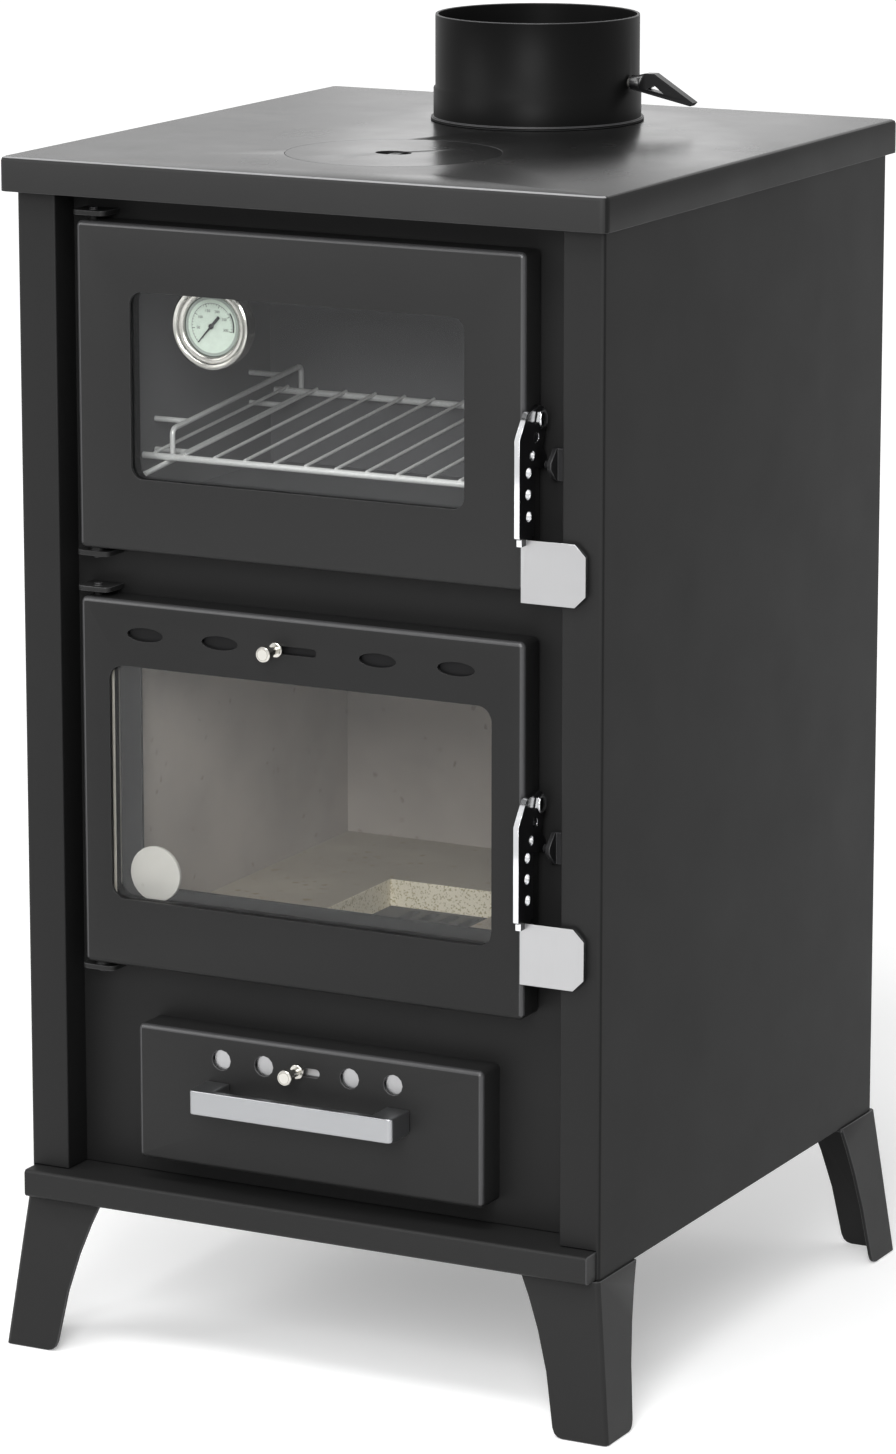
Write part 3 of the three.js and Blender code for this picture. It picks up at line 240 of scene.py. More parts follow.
def rounded_rectangle(u, v, corner):
    """Outline of a rectangle with round corners; u and v are (low, high) and corner is a radius."""
    centres = [(u[1] - corner, v[0] + corner, -90), (u[1] - corner, v[1] - corner, 0),
               (u[0] + corner, v[1] - corner, 90), (u[0] + corner, v[0] + corner, 180)]
    outline = []
    for cu, cv, start_deg in centres:
        for k in range(CORNER_STEPS + 1):
            turn = math.radians(start_deg + 90 * k / CORNER_STEPS)
            outline.append((cu + corner * math.cos(turn), cv + corner * math.sin(turn)))
    return outline


def cut_holes(piece, cutter_bm):
    """Cuts a mesh out of a piece and applies it."""
    bmesh.ops.recalc_face_normals(cutter_bm, faces=cutter_bm.faces)
    mesh = bpy.data.meshes.new("cutter")
    cutter_bm.to_mesh(mesh)
    cutter_bm.free()
    cutter = bpy.data.objects.new("cutter", mesh)
    bpy.context.collection.objects.link(cutter)
    hole = piece.modifiers.new("holes", "BOOLEAN")
    hole.operation = "DIFFERENCE"
    hole.solver = "EXACT"
    hole.object = cutter
    with bpy.context.temp_override(object=piece, active_object=piece, selected_objects=[piece]):
        bpy.ops.object.modifier_apply(modifier=hole.name)
    bpy.data.objects.remove(cutter)
    bpy.data.meshes.remove(mesh)


def bent(points, bend_mm):
    """A route through points in metres, with its corners rounded."""
    route = [Vector(points[0])]
    for before, corner, after in zip(points, points[1:], points[2:]):
        before, corner, after = Vector(before), Vector(corner), Vector(after)
        start = corner + (before - corner).normalized() * mm(bend_mm)
        end = corner + (after - corner).normalized() * mm(bend_mm)
        for k in range(BEND_STEPS + 1):
            t = k / BEND_STEPS
            route.append(start * (1 - t) ** 2 + corner * (2 * t * (1 - t)) + end * t ** 2)
    route.append(Vector(points[-1]))
    return route


def round_bar(name, routes, radius_mm, body, material, closed=False):
    """Round wire or rope along one or more routes given in metres."""
    curve = bpy.data.curves.new(name, "CURVE")
    curve.dimensions = "3D"
    curve.bevel_depth = mm(radius_mm)
    curve.bevel_resolution = WIRE_RESOLUTION
    curve.use_fill_caps = not closed
    for route in routes:
        line = curve.splines.new("POLY")
        line.points.add(len(route) - 1)
        for spot, place in zip(line.points, route):
            spot.co = (*place, 1)
        line.use_cyclic_u = closed
        line.use_smooth = True
    piece = bpy.data.objects.new(name, curve)
    bpy.context.collection.objects.link(piece)
    curve.materials.append(material)
    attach(piece, body)
    return piece


def stand_for(node):
    """Hides the CAD node that a piece takes the place of."""
    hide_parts(node)


def corners_of(node):
    """Lowest and highest corner of a node, in metres."""
    low, high = (Vector(corner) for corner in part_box(node))
    return low, high


def middle_of(node):
    low, high = corners_of(node)
    return (low + high) / 2


def fine_piece(node, bm, material, smooth_deg=SMOOTH_DEG):
    """Makes a piece from a mesh in place of a CAD node."""
    name = node + "_fine"
    piece = link(name, mesh_of(name, bm, smooth_deg), BODY_OF[node], material)
    stand_for(node)
    return piece


# Materials. Each is built from nodes, in object coordinates, so that the grain keeps its real scale.

BLACK, WHITE = (0, 0, 0), (1, 1, 1)


def finish(name, colour, roughness, metallic=0.0, **sockets):
    """A material with its shader and its object coordinates, ready for detail."""
    material = bpy.data.materials.new(name)
    material.use_nodes = True
    tree = material.node_tree
    shader = tree.nodes["Principled BSDF"]
    shader.inputs["Base Color"].default_value = (*colour, 1)
    shader.inputs["Roughness"].default_value = roughness
    shader.inputs["Metallic"].default_value = metallic
    for label, value in sockets.items():
        shader.inputs[label.replace("_", " ")].default_value = value
    place = tree.nodes.new("ShaderNodeTexCoord")
    return material, tree, shader, place.outputs["Object"]


def linear(hex_colour):
    """An sRGB colour such as 0x3d3d3e as the linear numbers that a shader takes."""
    parts = [(hex_colour >> shift & 255) / 255 for shift in (16, 8, 0)]
    return tuple(p / 12.92 if p <= 0.04045 else ((p + 0.055) / 1.055) ** 2.4 for p in parts)


def shade(colour, factor):
    return tuple(c * factor for c in colour)


def noise(tree, place, scale, detail, rough, stretch=None):
    """A noise value; stretch scales the coordinates along X, Y and Z first."""
    texture = tree.nodes.new("ShaderNodeTexNoise")
    texture.inputs["Scale"].default_value = scale
    texture.inputs["Detail"].default_value = detail
    texture.inputs["Roughness"].default_value = rough
    if stretch:
        mapping = tree.nodes.new("ShaderNodeMapping")
        mapping.inputs["Scale"].default_value = stretch
        tree.links.new(place, mapping.inputs["Vector"])
        place = mapping.outputs["Vector"]
    tree.links.new(place, texture.inputs["Vector"])
    return texture.outputs["Fac"]


def ramp(tree, value, *stops):
    """Maps a value to colours; stops are (position, linear colour)."""
    node = tree.nodes.new("ShaderNodeValToRGB")
    elements = node.color_ramp.elements
    while len(elements) < len(stops):
        elements.new(0.5)
    for element, (position, colour) in zip(elements, stops):
        element.position = position
        element.color = (*colour, 1)
    tree.links.new(value, node.inputs["Fac"])
    return node.outputs["Color"]


def spread(tree, value, low, high):
    """Maps 0 to 1 onto low to high."""
    node = tree.nodes.new("ShaderNodeMapRange")
    node.inputs["To Min"].default_value = low
    node.inputs["To Max"].default_value = high
    tree.links.new(value, node.inputs["Value"])
    return node.outputs["Result"]


def vary(tree, value, shader, middle, reach):
    """Lets a value move the roughness as far as reach to both sides of its middle."""
    tree.links.new(spread(tree, value, middle - reach, middle + reach), shader.inputs["Roughness"])


def math_node(tree, operation, first, second):
    """A maths node; each of its two inputs is a socket or a number."""
    node = tree.nodes.new("ShaderNodeMath")
    node.operation = operation
    for entry, value in zip(node.inputs, (first, second)):
        if isinstance(value, (int, float)):
            entry.default_value = value
        else:
            tree.links.new(value, entry)
    return node.outputs[0]


def specked(tree, base, speck, mask):
    """Lays a plain colour over a base where the mask is white."""
    mix = tree.nodes.new("ShaderNodeMix")
    mix.data_type = "RGBA"
    mix.inputs["B"].default_value = (*speck, 1)
    tree.links.new(mask, mix.inputs["Factor"])
    tree.links.new(base, mix.inputs["A"])
    return mix.outputs["Result"]


def bump(tree, shader, height, strength, distance_mm):
    node = tree.nodes.new("ShaderNodeBump")
    node.inputs["Strength"].default_value = strength
    node.inputs["Distance"].default_value = mm(distance_mm)
    tree.links.new(height, node.inputs["Height"])
    tree.links.new(node.outputs["Normal"], shader.inputs["Normal"])


def painted(name, hex_colour, roughness, specular, texture=0.1):
    """Heat-proof stove paint: a very fine orange peel, faint cloudiness, uneven gloss and rare dust."""
    tone = linear(hex_colour)
    material, tree, shader, place = finish(name, tone, roughness, Specular_IOR_Level=specular)
    clouds = noise(tree, place, scale=5.5, detail=3, rough=0.55)
    cloudy = ramp(tree, clouds, (0.3, shade(tone, 0.92)), (0.7, shade(tone, 1.08)))
    dust = noise(tree, place, scale=620, detail=1, rough=0.4)
    specks = ramp(tree, dust, (0.72, BLACK), (0.8, WHITE))
    tree.links.new(specked(tree, cloudy, shade(tone, 1.5), specks), shader.inputs["Base Color"])
    gloss = noise(tree, place, scale=14, detail=4, rough=0.6)
    vary(tree, gloss, shader, roughness, reach=0.05)
    if texture:
        peel = noise(tree, place, scale=900, detail=2, rough=0.5)
        bump(tree, shader, peel, texture, distance_mm=0.04)
    return material


def chromed(name, hex_colour, roughness, painted_dark_rims=False):
    """Polished chrome with faint smears and hairline marks; with the last argument, faces turned away go
    dark: a painted dark reflection.
    """
    tone = linear(hex_colour)
    material, tree, shader, place = finish(name, tone, roughness, metallic=1.0)
    smears = noise(tree, place, scale=60, detail=4, rough=0.6)
    vary(tree, smears, shader, roughness, reach=0.06)
    if painted_dark_rims:
        # Darker colour on faces turned away from the view: a painted dark reflection at the rims.
        turned_away = tree.nodes.new("ShaderNodeLayerWeight")
        turned_away.inputs["Blend"].default_value = 0.45
        stops = (0.4, tone), (0.75, shade(tone, 0.5)), (1.0, shade(tone, 0.12))
        tree.links.new(ramp(tree, turned_away.outputs["Facing"], *stops), shader.inputs["Base Color"])
    hairlines = noise(tree, place, scale=240, detail=2, rough=0.5)
    bump(tree, shader, hairlines, strength=0.05, distance_mm=0.1)
    return material


def wire_finish(name, hex_colour):
    """Bright wire: plated steel whose fine drawn surface scatters part of the light."""
    tone = linear(hex_colour)
    material, tree, shader, place = finish(name, tone, roughness=0.24, metallic=0.12)
    grain = noise(tree, place, scale=500, detail=3, rough=0.6)
    tree.links.new(ramp(tree, grain, (0.3, shade(tone, 0.9)), (0.7, tone)), shader.inputs["Base Color"])
    tree.links.new(spread(tree, grain, 0.18, 0.32), shader.inputs["Roughness"])
    return material


def brushed(name, stretch, hex_colour, roughness):
    """Brushed steel: fine scratches along one direction."""
    material, tree, shader, place = finish(name, linear(hex_colour), roughness, metallic=1.0)
    scratches = noise(tree, place, scale=900, detail=3, rough=0.7, stretch=stretch)
    vary(tree, scratches, shader, roughness, reach=0.12)
    bump(tree, shader, scratches, strength=0.12, distance_mm=0.04)
    return material


def cast(name, hex_colour):
    """Cast iron: sandy grain with darker pits."""
    tone = linear(hex_colour)
    material, tree, shader, place = finish(name, tone, roughness=0.72, metallic=0.25)
    grain = noise(tree, place, scale=420, detail=5, rough=0.7)
    sandy = ramp(tree, grain, (0.35, shade(tone, 0.8)), (0.65, shade(tone, 1.25)))
    tree.links.new(sandy, shader.inputs["Base Color"])
    bump(tree, shader, grain, strength=0.3, distance_mm=0.3)
    return material


def board(name, hex_colour, hex_flakes, flake_share, grain_mm=1.6):
    """Vermiculite lining board: pale grain, flakes of another tone and soft stains."""
    tone = linear(hex_colour)
    material, tree, shader, place = finish(name, tone, roughness=0.95)
    stains = noise(tree, place, scale=9, detail=4, rough=0.6)
    base = ramp(tree, stains, (0.3, shade(tone, 0.86)), (0.7, shade(tone, 1.12)))
    flakes = tree.nodes.new("ShaderNodeTexVoronoi")
    cells_per_metre = 1000 / grain_mm / 2
    flakes.inputs["Scale"].default_value = cells_per_metre
    tree.links.new(place, flakes.inputs["Vector"])
    edge, softness = 1 - flake_share, 0.04
    mask = ramp(tree, flakes.outputs["Color"], (edge - softness, BLACK), (edge, WHITE))
    tree.links.new(specked(tree, base, linear(hex_flakes), mask), shader.inputs["Base Color"])
    grain = noise(tree, place, scale=cells_per_metre, detail=3, rough=0.6)
    bump(tree, shader, grain, strength=0.16, distance_mm=0.4)
    return material


def roped(name, hex_colour):
    """Glass rope: a tight braid of pale yarn."""
    tone = linear(hex_colour)
    material, tree, shader, place = finish(name, tone, roughness=0.95)
    waves = []
    for slant_deg in (38, -38):
        mapping = tree.nodes.new("ShaderNodeMapping")
        mapping.inputs["Rotation"].default_value = (0, math.radians(slant_deg), 0)
        tree.links.new(place, mapping.inputs["Vector"])
        wave = tree.nodes.new("ShaderNodeTexWave")
        wave.inputs["Scale"].default_value = 260
        tree.links.new(mapping.outputs["Vector"], wave.inputs["Vector"])
        waves.append(wave.outputs["Fac"])
    braid = math_node(tree, "MAXIMUM", *waves)
    # The braid is darker in the grooves between strands: painted shade.
    yarn_with_painted_shade = ramp(tree, braid, (0.2, shade(tone, 0.6)), (0.8, tone))
    tree.links.new(yarn_with_painted_shade, shader.inputs["Base Color"])
    bump(tree, shader, braid, strength=0.8, distance_mm=0.8)
    return material


def glazed(name, tint, reflection):
    """Flat door glass: clear, a little tinted, with reflections that grow at low angles."""
    material = bpy.data.materials.new(name)
    material.use_nodes = True
    tree = material.node_tree
    clear = tree.nodes.new("ShaderNodeBsdfTransparent")
    clear.inputs["Color"].default_value = (*tint, 1)
    gloss = tree.nodes.new("ShaderNodeBsdfGlossy")
    edge = tree.nodes.new("ShaderNodeFresnel")
    edge.inputs["IOR"].default_value = 1.45
    place = tree.nodes.new("ShaderNodeTexCoord")
    haze = noise(tree, place.outputs["Object"], scale=20, detail=3, rough=0.5)
    tree.links.new(spread(tree, haze, 0.02, 0.06), gloss.inputs["Roughness"])
    mix = tree.nodes.new("ShaderNodeMixShader")
    tree.links.new(math_node(tree, "MULTIPLY", edge.outputs["Fac"], reflection), mix.inputs["Fac"])
    tree.links.new(clear.outputs["BSDF"], mix.inputs[1])
    tree.links.new(gloss.outputs["BSDF"], mix.inputs[2])
    tree.nodes.remove(tree.nodes["Principled BSDF"])
    tree.links.new(mix.outputs["Shader"], tree.nodes["Material Output"].inputs["Surface"])
    return material


def plain_print(name, hex_colour, roughness=0.5):
    """Printed or lacquered surface of the dial: nearly even, with a trace of grain."""
    tone = linear(hex_colour)
    material, tree, shader, place = finish(name, tone, roughness)
    grain = noise(tree, place, scale=300, detail=3, rough=0.5)
    even = ramp(tree, grain, (0.3, shade(tone, 0.96)), (0.7, shade(tone, 1.03)))
    tree.links.new(even, shader.inputs["Base Color"])
    return material


# Paints: colour, roughness, specular level and, where it isn't the usual one, strength of the orange peel
DOOR_PAINT = painted("door_paint", 0x191919, 0.46, 0.24)
PAINT = painted("stove_paint", 0x1b1b1b, 0.5, 0.21)
# Darker copy of the stove paint for the fire door, lower down: painted shade.
FIRE_DOOR_SHADED_PAINT = painted("fire_door_painted_shade", 0x151515, 0.46, 0.22)
# Darker copy of the stove paint for the recessed front plate: painted shade.
PLATE_SHADED_PAINT = painted("plate_painted_shade", 0x171717, 0.5, 0.18)
# Lighter copy of the side paint for the front faces of the side panels: painted light.
FLANGE_LIT_PAINT = painted("flange_painted_light", 0x181818, 0.5, 0.19)
# Darker copy of the stove paint for the body's sides and the hob's side lips: painted shade.
SIDE_SHADED_PAINT = painted("side_painted_shade", 0x131313, 0.5, 0.12)
# Lighter copy of the paint for the hob's front lip: painted light.
LIP_LIT_PAINT = painted("lip_painted_light", 0x272727, 0.5, 0.12)
# The next three are lighter paints for rounded edges and bends: painted highlights.
EDGE_HIGHLIGHT_PAINT = painted("painted_highlight_edge", 0x333334, 0.32, 0.45, 0.03)
HOB_EDGE_HIGHLIGHT = painted("hob_edge_painted_highlight", 0x858586, 0.3, 0.5, 0.03)
DARK_PART_EDGE_HIGHLIGHT = painted("painted_highlight_dark_edge", 0x363637, 0.38, 0.3, 0.03)
INNER_PAINT = painted("inner_paint", 0x1c1c1d, 0.6, 0.2, 0.0)
# Black for the shutter behind the air holes, so that the holes read dark: painted shade.
SHUTTER_SHADED = painted("shutter_painted_shade", 0x0b0b0c, 0.5, 0.15, 0.0)
OVEN_ENAMEL = painted("oven_enamel", 0x666668, 0.5, 0.3, 0.0)
HOB_PAINT = painted("hob_paint", 0x151515, 0.26, 0.2, 0.03)
FLUE_PAINT = painted("flue_paint", 0x0a0a0a, 0.42, 0.07)
# Blackened steel for the damper lever; on the latch levers' flat sides it is a painted reflection of the
# dark room.
BLACK_STEEL_AND_PAINTED_REFLECTION = painted("blackened_steel_and_painted_reflection", 0x0c0c0d, 0.3, 0.4)

# Metals: colour and roughness. The scratches of brushed steel run along the axis with the small number.
# Its faces turned away from the view are darkened: a painted reflection.
CHROME = chromed("chrome", 0xdcdddf, 0.14, painted_dark_rims=True)
SATIN_CHROME = chromed("satin_chrome", 0xbfbdb7, 0.22)
NUT_CHROME = chromed("nut_chrome", 0xd2d3d5, 0.12)
STEEL = brushed("brushed_steel", (0.04, 1, 1), 0x9c9d9f, 0.33)
PLATE_STEEL = brushed("plate_steel", (1, 1, 0.05), 0xa8a8a9, 0.36)
DARK_STEEL = brushed("dull_steel", (0.05, 1, 1), 0x8d8e90, 0.42)
WIRE = wire_finish("wire_chrome", 0xfafaf8)
IRON = cast("cast_iron", 0x484745)

# Boards: colour, colour and share of the flakes and, where it isn't the usual one, size of the grain
LINING = board("lining_board", 0xada59c, 0x9d948a, 0.06)
VERMICULITE = board("vermiculite", 0xa9a090, 0x988c72, 0.1)
# Where the floor board is cut: its own finer grain, made paler than the board as painted light.
CUT_VERMICULITE_LIT = board("cut_vermiculite_painted_light", 0xf1e8d2, 0xbfb38f, 0.28, 0.6)
PALE_DISC = board("pale_disc", 0xcbc8c1, 0xbdb9b0, 0.05)

ROPE = roped("glass_rope", 0xcfc9be)
GLASS = glazed("door_glass", (0.955, 0.96, 0.96), 0.6)
DIAL = plain_print("dial_face", 0xcfdccf)
# Darker ring just inside the case's rim: a painted shadow of the rim on the dial.
DIAL_PAINTED_SHADOW = plain_print("dial_painted_shadow", 0x9aa39b)
DIAL_INK = plain_print("dial_ink", 0x1c1d1f)
NEEDLE = plain_print("needle_paint", 0x17171a, 0.35)


# Sheet and board parts that keep the CAD form

# Each row: finish, edge radius in millimetres, lighter edge finish painted on as a highlight or none, and
# the nodes
SKINS = (
    (PAINT, 0.6, DARK_PART_EDGE_HIGHLIGHT, "base_tray"),
    (PAINT, 0.5, DARK_PART_EDGE_HIGHLIGHT, "leg_front_left", "leg_front_right", "leg_rear_left", "leg_rear_right"),
    (SIDE_SHADED_PAINT, 1.0, DARK_PART_EDGE_HIGHLIGHT, "side_panel_left", "side_panel_right"),
    (PAINT, 0.4, None, "back_panel"),
    (PLATE_SHADED_PAINT, 0.5, None, "front_plate"),
    (HOB_PAINT, 0.4, None, "hob_lid"),
    (FLUE_PAINT, 0.5, DARK_PART_EDGE_HIGHLIGHT, "flue_collar"),
    (IRON, 0.4, None, "damper_disc"),
    (BLACK_STEEL_AND_PAINTED_REFLECTION, 0.5, DARK_PART_EDGE_HIGHLIGHT, "damper_lever"),
    (OVEN_ENAMEL, 0.5, None, "oven_box"),
    (VERMICULITE, 0.8, None, "baffle_board"),
    (INNER_PAINT, 0.5, None, "firebox_base", "firebox_shell"),
    (LINING, 0.8, None, "lining_left", "lining_right", "lining_back"),
    (VERMICULITE, 1.0, None, "lining_floor"),
    (IRON, 0.8, None, "grate"),
    (PALE_DISC, 0.6, None, "lining_keeper"),
    (INNER_PAINT, 0.4, DARK_PART_EDGE_HIGHLIGHT, "oven_door_keeper", "fire_door_keeper"),
    (PAINT, 0.4, DARK_PART_EDGE_HIGHLIGHT,
     "hinge_oven_top", "hinge_oven_bottom", "hinge_fire_top", "hinge_fire_bottom"),
    (DOOR_PAINT, 0.6, EDGE_HIGHLIGHT_PAINT, "oven_door_shell"),
    (GLASS, 0.4, None, "oven_door_glass"),
    (INNER_PAINT, 0.4, None, "oven_door_frame"),
    (DARK_STEEL, 0.3, None, "thermometer_bracket"),
    (FIRE_DOOR_SHADED_PAINT, 0.6, EDGE_HIGHLIGHT_PAINT, "fire_door_shell"),
    (GLASS, 0.4, None, "fire_door_glass"),
    (INNER_PAINT, 0.4, None, "fire_door_frame"),
    (SHUTTER_SHADED, 0.2, None, "air_shutter"),
    (PAINT, 0.6, EDGE_HIGHLIGHT_PAINT, "drawer_front"),
    (DARK_STEEL, 0.3, None, "ash_pan"),
    (STEEL, 1.2, None, "drawer_handle"),
    (PLATE_STEEL, 0.2, None, "drawer_shutter"),
    (DARK_STEEL, 0.3, None, "pan_runner_left", "pan_runner_right"),
)
HOB_ROUNDING_MM = 1.0


def dress_parts():
    for material, width_mm, edge_highlight, *group in SKINS:
        for node in group:
            piece = refine(node, material, width_mm, edge_highlight, highlight_folds=edge_highlight == EDGE_HIGHLIGHT_PAINT)
            # The side panels' front faces get a lighter copy of their paint than their sides: painted
            # light and shade.
            if material == SIDE_SHADED_PAINT:
                repaint(piece, FLANGE_LIT_PAINT, lambda normal: normal.y < -FACING)
            # The cut edges of the floor board get a paler finish, partly painted light.
            if node == "lining_floor":
                repaint(piece, CUT_VERMICULITE_LIT, lambda normal: abs(normal.z) < FACING)


def dress_hob():
    """Hot plate: satin top; folded lip with painted shade on its sides and back and painted light in
    front; painted highlights on the edges and the upper front bend.
    """
    hob = refine("top_plate", HOB_PAINT, HOB_ROUNDING_MM, DARK_PART_EDGE_HIGHLIGHT)
    # Darker lip sides and back, then a lighter front lip: painted shade and light.
    repaint(hob, SIDE_SHADED_PAINT, lambda normal: abs(normal.z) < FACING)
    repaint(hob, LIP_LIT_PAINT, lambda normal: normal.y < -FACING)
    # Painted highlight on the upper bend in front.
    repaint(hob, HOB_EDGE_HIGHLIGHT, lambda normal: normal.y < -FOLD_MIN and FACING < normal.z < FOLD_MAX)


# Gaskets and tape

GASKET_CORNER_MM = 12
TAPE_INSET_MM, TAPE_WIDTH_MM = 6.0, 2.2
TAPE_NEAR_MM, TAPE_FAR_MM = 0.05, 0.15


def make_gasket(node):
    """Braided rope seal round the back of a door."""
    low, high = corners_of(node)
    radius = (high.y - low.y) / 2
    across = low.x + radius, high.x - radius
    up = low.z + radius, high.z - radius
    y = middle_of(node).y
    route = [(u, y, v) for u, v in rounded_rectangle(across, up, mm(GASKET_CORNER_MM))]
    rope = round_bar(node + "_rope", [route], radius * 1000, BODY_OF[node], ROPE, closed=True)
    stand_for(node)


def make_glass_tape(node):
    """Thin pale fibre tape on the back of the fire glass, along both upright edges."""
    low, high = corners_of(node)
    inset, wide = mm(TAPE_INSET_MM, TAPE_WIDTH_MM)
    bottom, top = low.z + inset, high.z - inset
    near, far = high.y + mm(TAPE_NEAR_MM), high.y + mm(TAPE_FAR_MM)
    bm = bmesh.new()
    for left in (low.x + inset, high.x - inset - wide):
        outline = [(left, bottom), (left + wide, bottom), (left + wide, top), (left, top)]
        slab(bm, outline, near, far, "y")
    tape = link(node + "_tape", mesh_of(node + "_tape", bm), BODY_OF[node], ROPE)


# Bolts, which run along X with the dome at their higher end

# Radius, end and offset
SHAFT_MM = ((0, LOW, 0.2), (3.6, LOW, 0.2), (4, LOW, 0.6), (4, HIGH, -3.9), (0, HIGH, -3.9))
SHAFT_STEPS = 32

# End, offsets of both faces, and radius to the corners
NUTS_MM = ((LOW, 0.8, 4.2, 6.4), (HIGH, -4.4, -1.9, 6.9))
NUT_SIDES = 6
NUT_TURN_DEG = 12
NUT_ROUNDING_MM = 0.35
DOME_RADIUS_MM, DOME_HEIGHT_MM, DOME_FOOT_MM = 5.7, 1.9, 2.9
DOME_STEP_DEG, DOME_STEPS = 10, 40


def nut_outline(centre, radius_mm):
    outline = []
    for k in range(NUT_SIDES):
        turn = math.radians(360 / NUT_SIDES * k + NUT_TURN_DEG)
        outline.append((centre.y + mm(radius_mm) * math.cos(turn),
                        centre.z + mm(radius_mm) * math.sin(turn)))
    return outline


def dome_profile(tip_mm):
    """Profile of a cap nut's dome up to its tip."""
    foot = tip_mm - DOME_FOOT_MM
    profile = [(0, foot), (DOME_RADIUS_MM, foot)]
    for rise_deg in range(0, 90, DOME_STEP_DEG):
        rise = math.radians(rise_deg)
        height = tip_mm - DOME_HEIGHT_MM + DOME_HEIGHT_MM * math.sin(rise)
        profile.append((DOME_RADIUS_MM * math.cos(rise), height))
    return profile + [(0, tip_mm)]


def make_bolt(node):
    """Pivot bolt of a latch lever: cap nut outside, plain nut inside."""
    low, high = corners_of(node)
    middle = middle_of(node)
    centre = Vector((0, middle.y, middle.z))
    ends = low.x * 1000, high.x * 1000
    bm = lathe(bmesh.new(), from_ends(SHAFT_MM, *ends), centre, "x", SHAFT_STEPS)
    for end, start, stop, radius in NUTS_MM:
        slab(bm, nut_outline(centre, radius), *mm(ends[end] + start, ends[end] + stop), "x")
    lathe(bm, dome_profile(ends[HIGH]), centre, "x", DOME_STEPS)
    bevel(fine_piece(node, bm, NUT_CHROME), NUT_ROUNDING_MM)


# Knobs, which run along Y with their lower end in front

# Radius, end and offset
KNOB_MM = (
    (0, LOW, 0), (3.6, LOW, 0), (3.8, LOW, 0.35), (4.2, LOW, 0.35), (4.4, LOW, 0), (5.0, LOW, 0.1),
    (5.45, LOW, 0.6), (5.45, LOW, 6.2), (5.0, LOW, 6.8), (2.9, LOW, 7.0),
    (2.9, HIGH, -5.4), (4.7, HIGH, -5.3), (5.15, HIGH, -4.9), (5.15, HIGH, -2.9), (2.5, HIGH, -2.8),
    (2.5, HIGH, -0.3), (2.2, HIGH, 0), (0, HIGH, 0),
)
KNOB_STEPS = 48


def make_knob(node):
    """Turned knob with rings in its face, a thin neck and a rosette against the front."""
    low, high = corners_of(node)
    middle = middle_of(node)
    profile = from_ends(KNOB_MM, low.y * 1000, high.y * 1000)
    bm = lathe(bmesh.new(), profile, Vector((middle.x, 0, middle.z)), "y", KNOB_STEPS)
    fine_piece(node, bm, SATIN_CHROME, TURNED_SMOOTH_DEG)


# Latch levers

LATCH_ROUNDING_MM = 0.45
LATCH_LEAST_FACE_MM = 4
GRIP_HEIGHT_MM = 34


def make_latch(node):
    """Latch lever: polished edges and holes, flat sides in blackened steel as a painted dark reflection,
    and a bare grip plate.
    """
    grip_top = corners_of(node)[LOW].z + mm(GRIP_HEIGHT_MM)
    lever = refine(node, CHROME, LATCH_ROUNDING_MM)
    lever.data.materials.append(BLACK_STEEL_AND_PAINTED_REFLECTION)
    lever.data.materials.append(PLATE_STEEL)
    for face in lever.data.polygons:
        flat = face.area > mm(LATCH_LEAST_FACE_MM) ** 2
        # Flat sides above the grip: blackened steel as a painted reflection of the dark room in the
        # chrome.
        if abs(face.normal.x) > SQUARE and flat and face.center.z > grip_top:
            face.material_index = 1
        elif face.normal.y < -SQUARE and flat and face.center.z < grip_top:
            face.material_index = 2


# Thermometer, with its lower end in front

# Radius, end and offset
CASE_MM = (
    (0, HIGH, 0), (28.4, HIGH, 0), (29.2, HIGH, -0.8), (29.2, LOW, 4.2), (30, LOW, 3.6),
    (30, LOW, 1.8), (29.5, LOW, 0.6), (28.4, LOW, 0), (27.0, LOW, 0.2), (25.6, LOW, 1.2),
    (25.2, LOW, 1.9), (24.6, LOW, 1.7), (23.4, LOW, 1.6), (21.6, LOW, 2.6),
    (21.1, LOW, 3.4), (21.1, LOW, 4.1), (24.1, LOW, 4.15), (24.1, HIGH, -7.4), (0, HIGH, -7.4),
)
CASE_STEPS = 96
DIAL_RADIUS_MM, DIAL_SHEET_MM = 23.6, 0.75
PRINT_NEAR_MM, PRINT_FAR_MM = 0.06, 0.01

# Rings, lines and bands have an inner and an outer radius, and angles go clockwise from the top
# The second ring is a painted shadow of the case's rim on the dial.
RIM_RING_MM, SHADOW_RING_MM, RING_STEPS = (20.6, 21.4), (18.6, 20.6), 90
SCALE_START_DEG, SCALE_SWEEP_DEG = -138, 240
SCALE_LINE_MM, SCALE_STEPS = (15.7, 15.95), 60
HOT_BAND_MM, HOT_BAND_DEG, HOT_STEPS = (16.4, 17.6), (55, 102), 18
MARK_GAP_DEG, MARKS, MARKS_PER_NUMBER = 8, 31, 5
MARK_TOP_MM = 15.8
LONG_MARK_FOOT_MM, LONG_MARK_HALF_DEG = 13.6, 0.9
SHORT_MARK_FOOT_MM, SHORT_MARK_HALF_DEG = 14.8, 0.5
NUMBERS = ("0", "50", "100", "150", "200", "250", "300")
NUMBER_PLACE_MM, NUMBER_SIZE_MM, NUMBER_DEPTH_MM = 10.9, 2.7, 0.03


def text_on_dial(name, words, x, y, z):
    letters = bpy.data.curves.new(name, "FONT")
    letters.body = words
    letters.size = mm(NUMBER_SIZE_MM)
    letters.align_x = "CENTER"
    letters.align_y = "CENTER"
    letters.extrude = mm(NUMBER_DEPTH_MM)
    letters.materials.append(DIAL_INK)
    piece = bpy.data.objects.new(name, letters)
    piece.location = (x, y, z)
    piece.rotation_euler = (math.radians(90), 0, 0)
    bpy.context.collection.objects.link(piece)
    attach(piece, BODY_OF["thermometer_dial"])


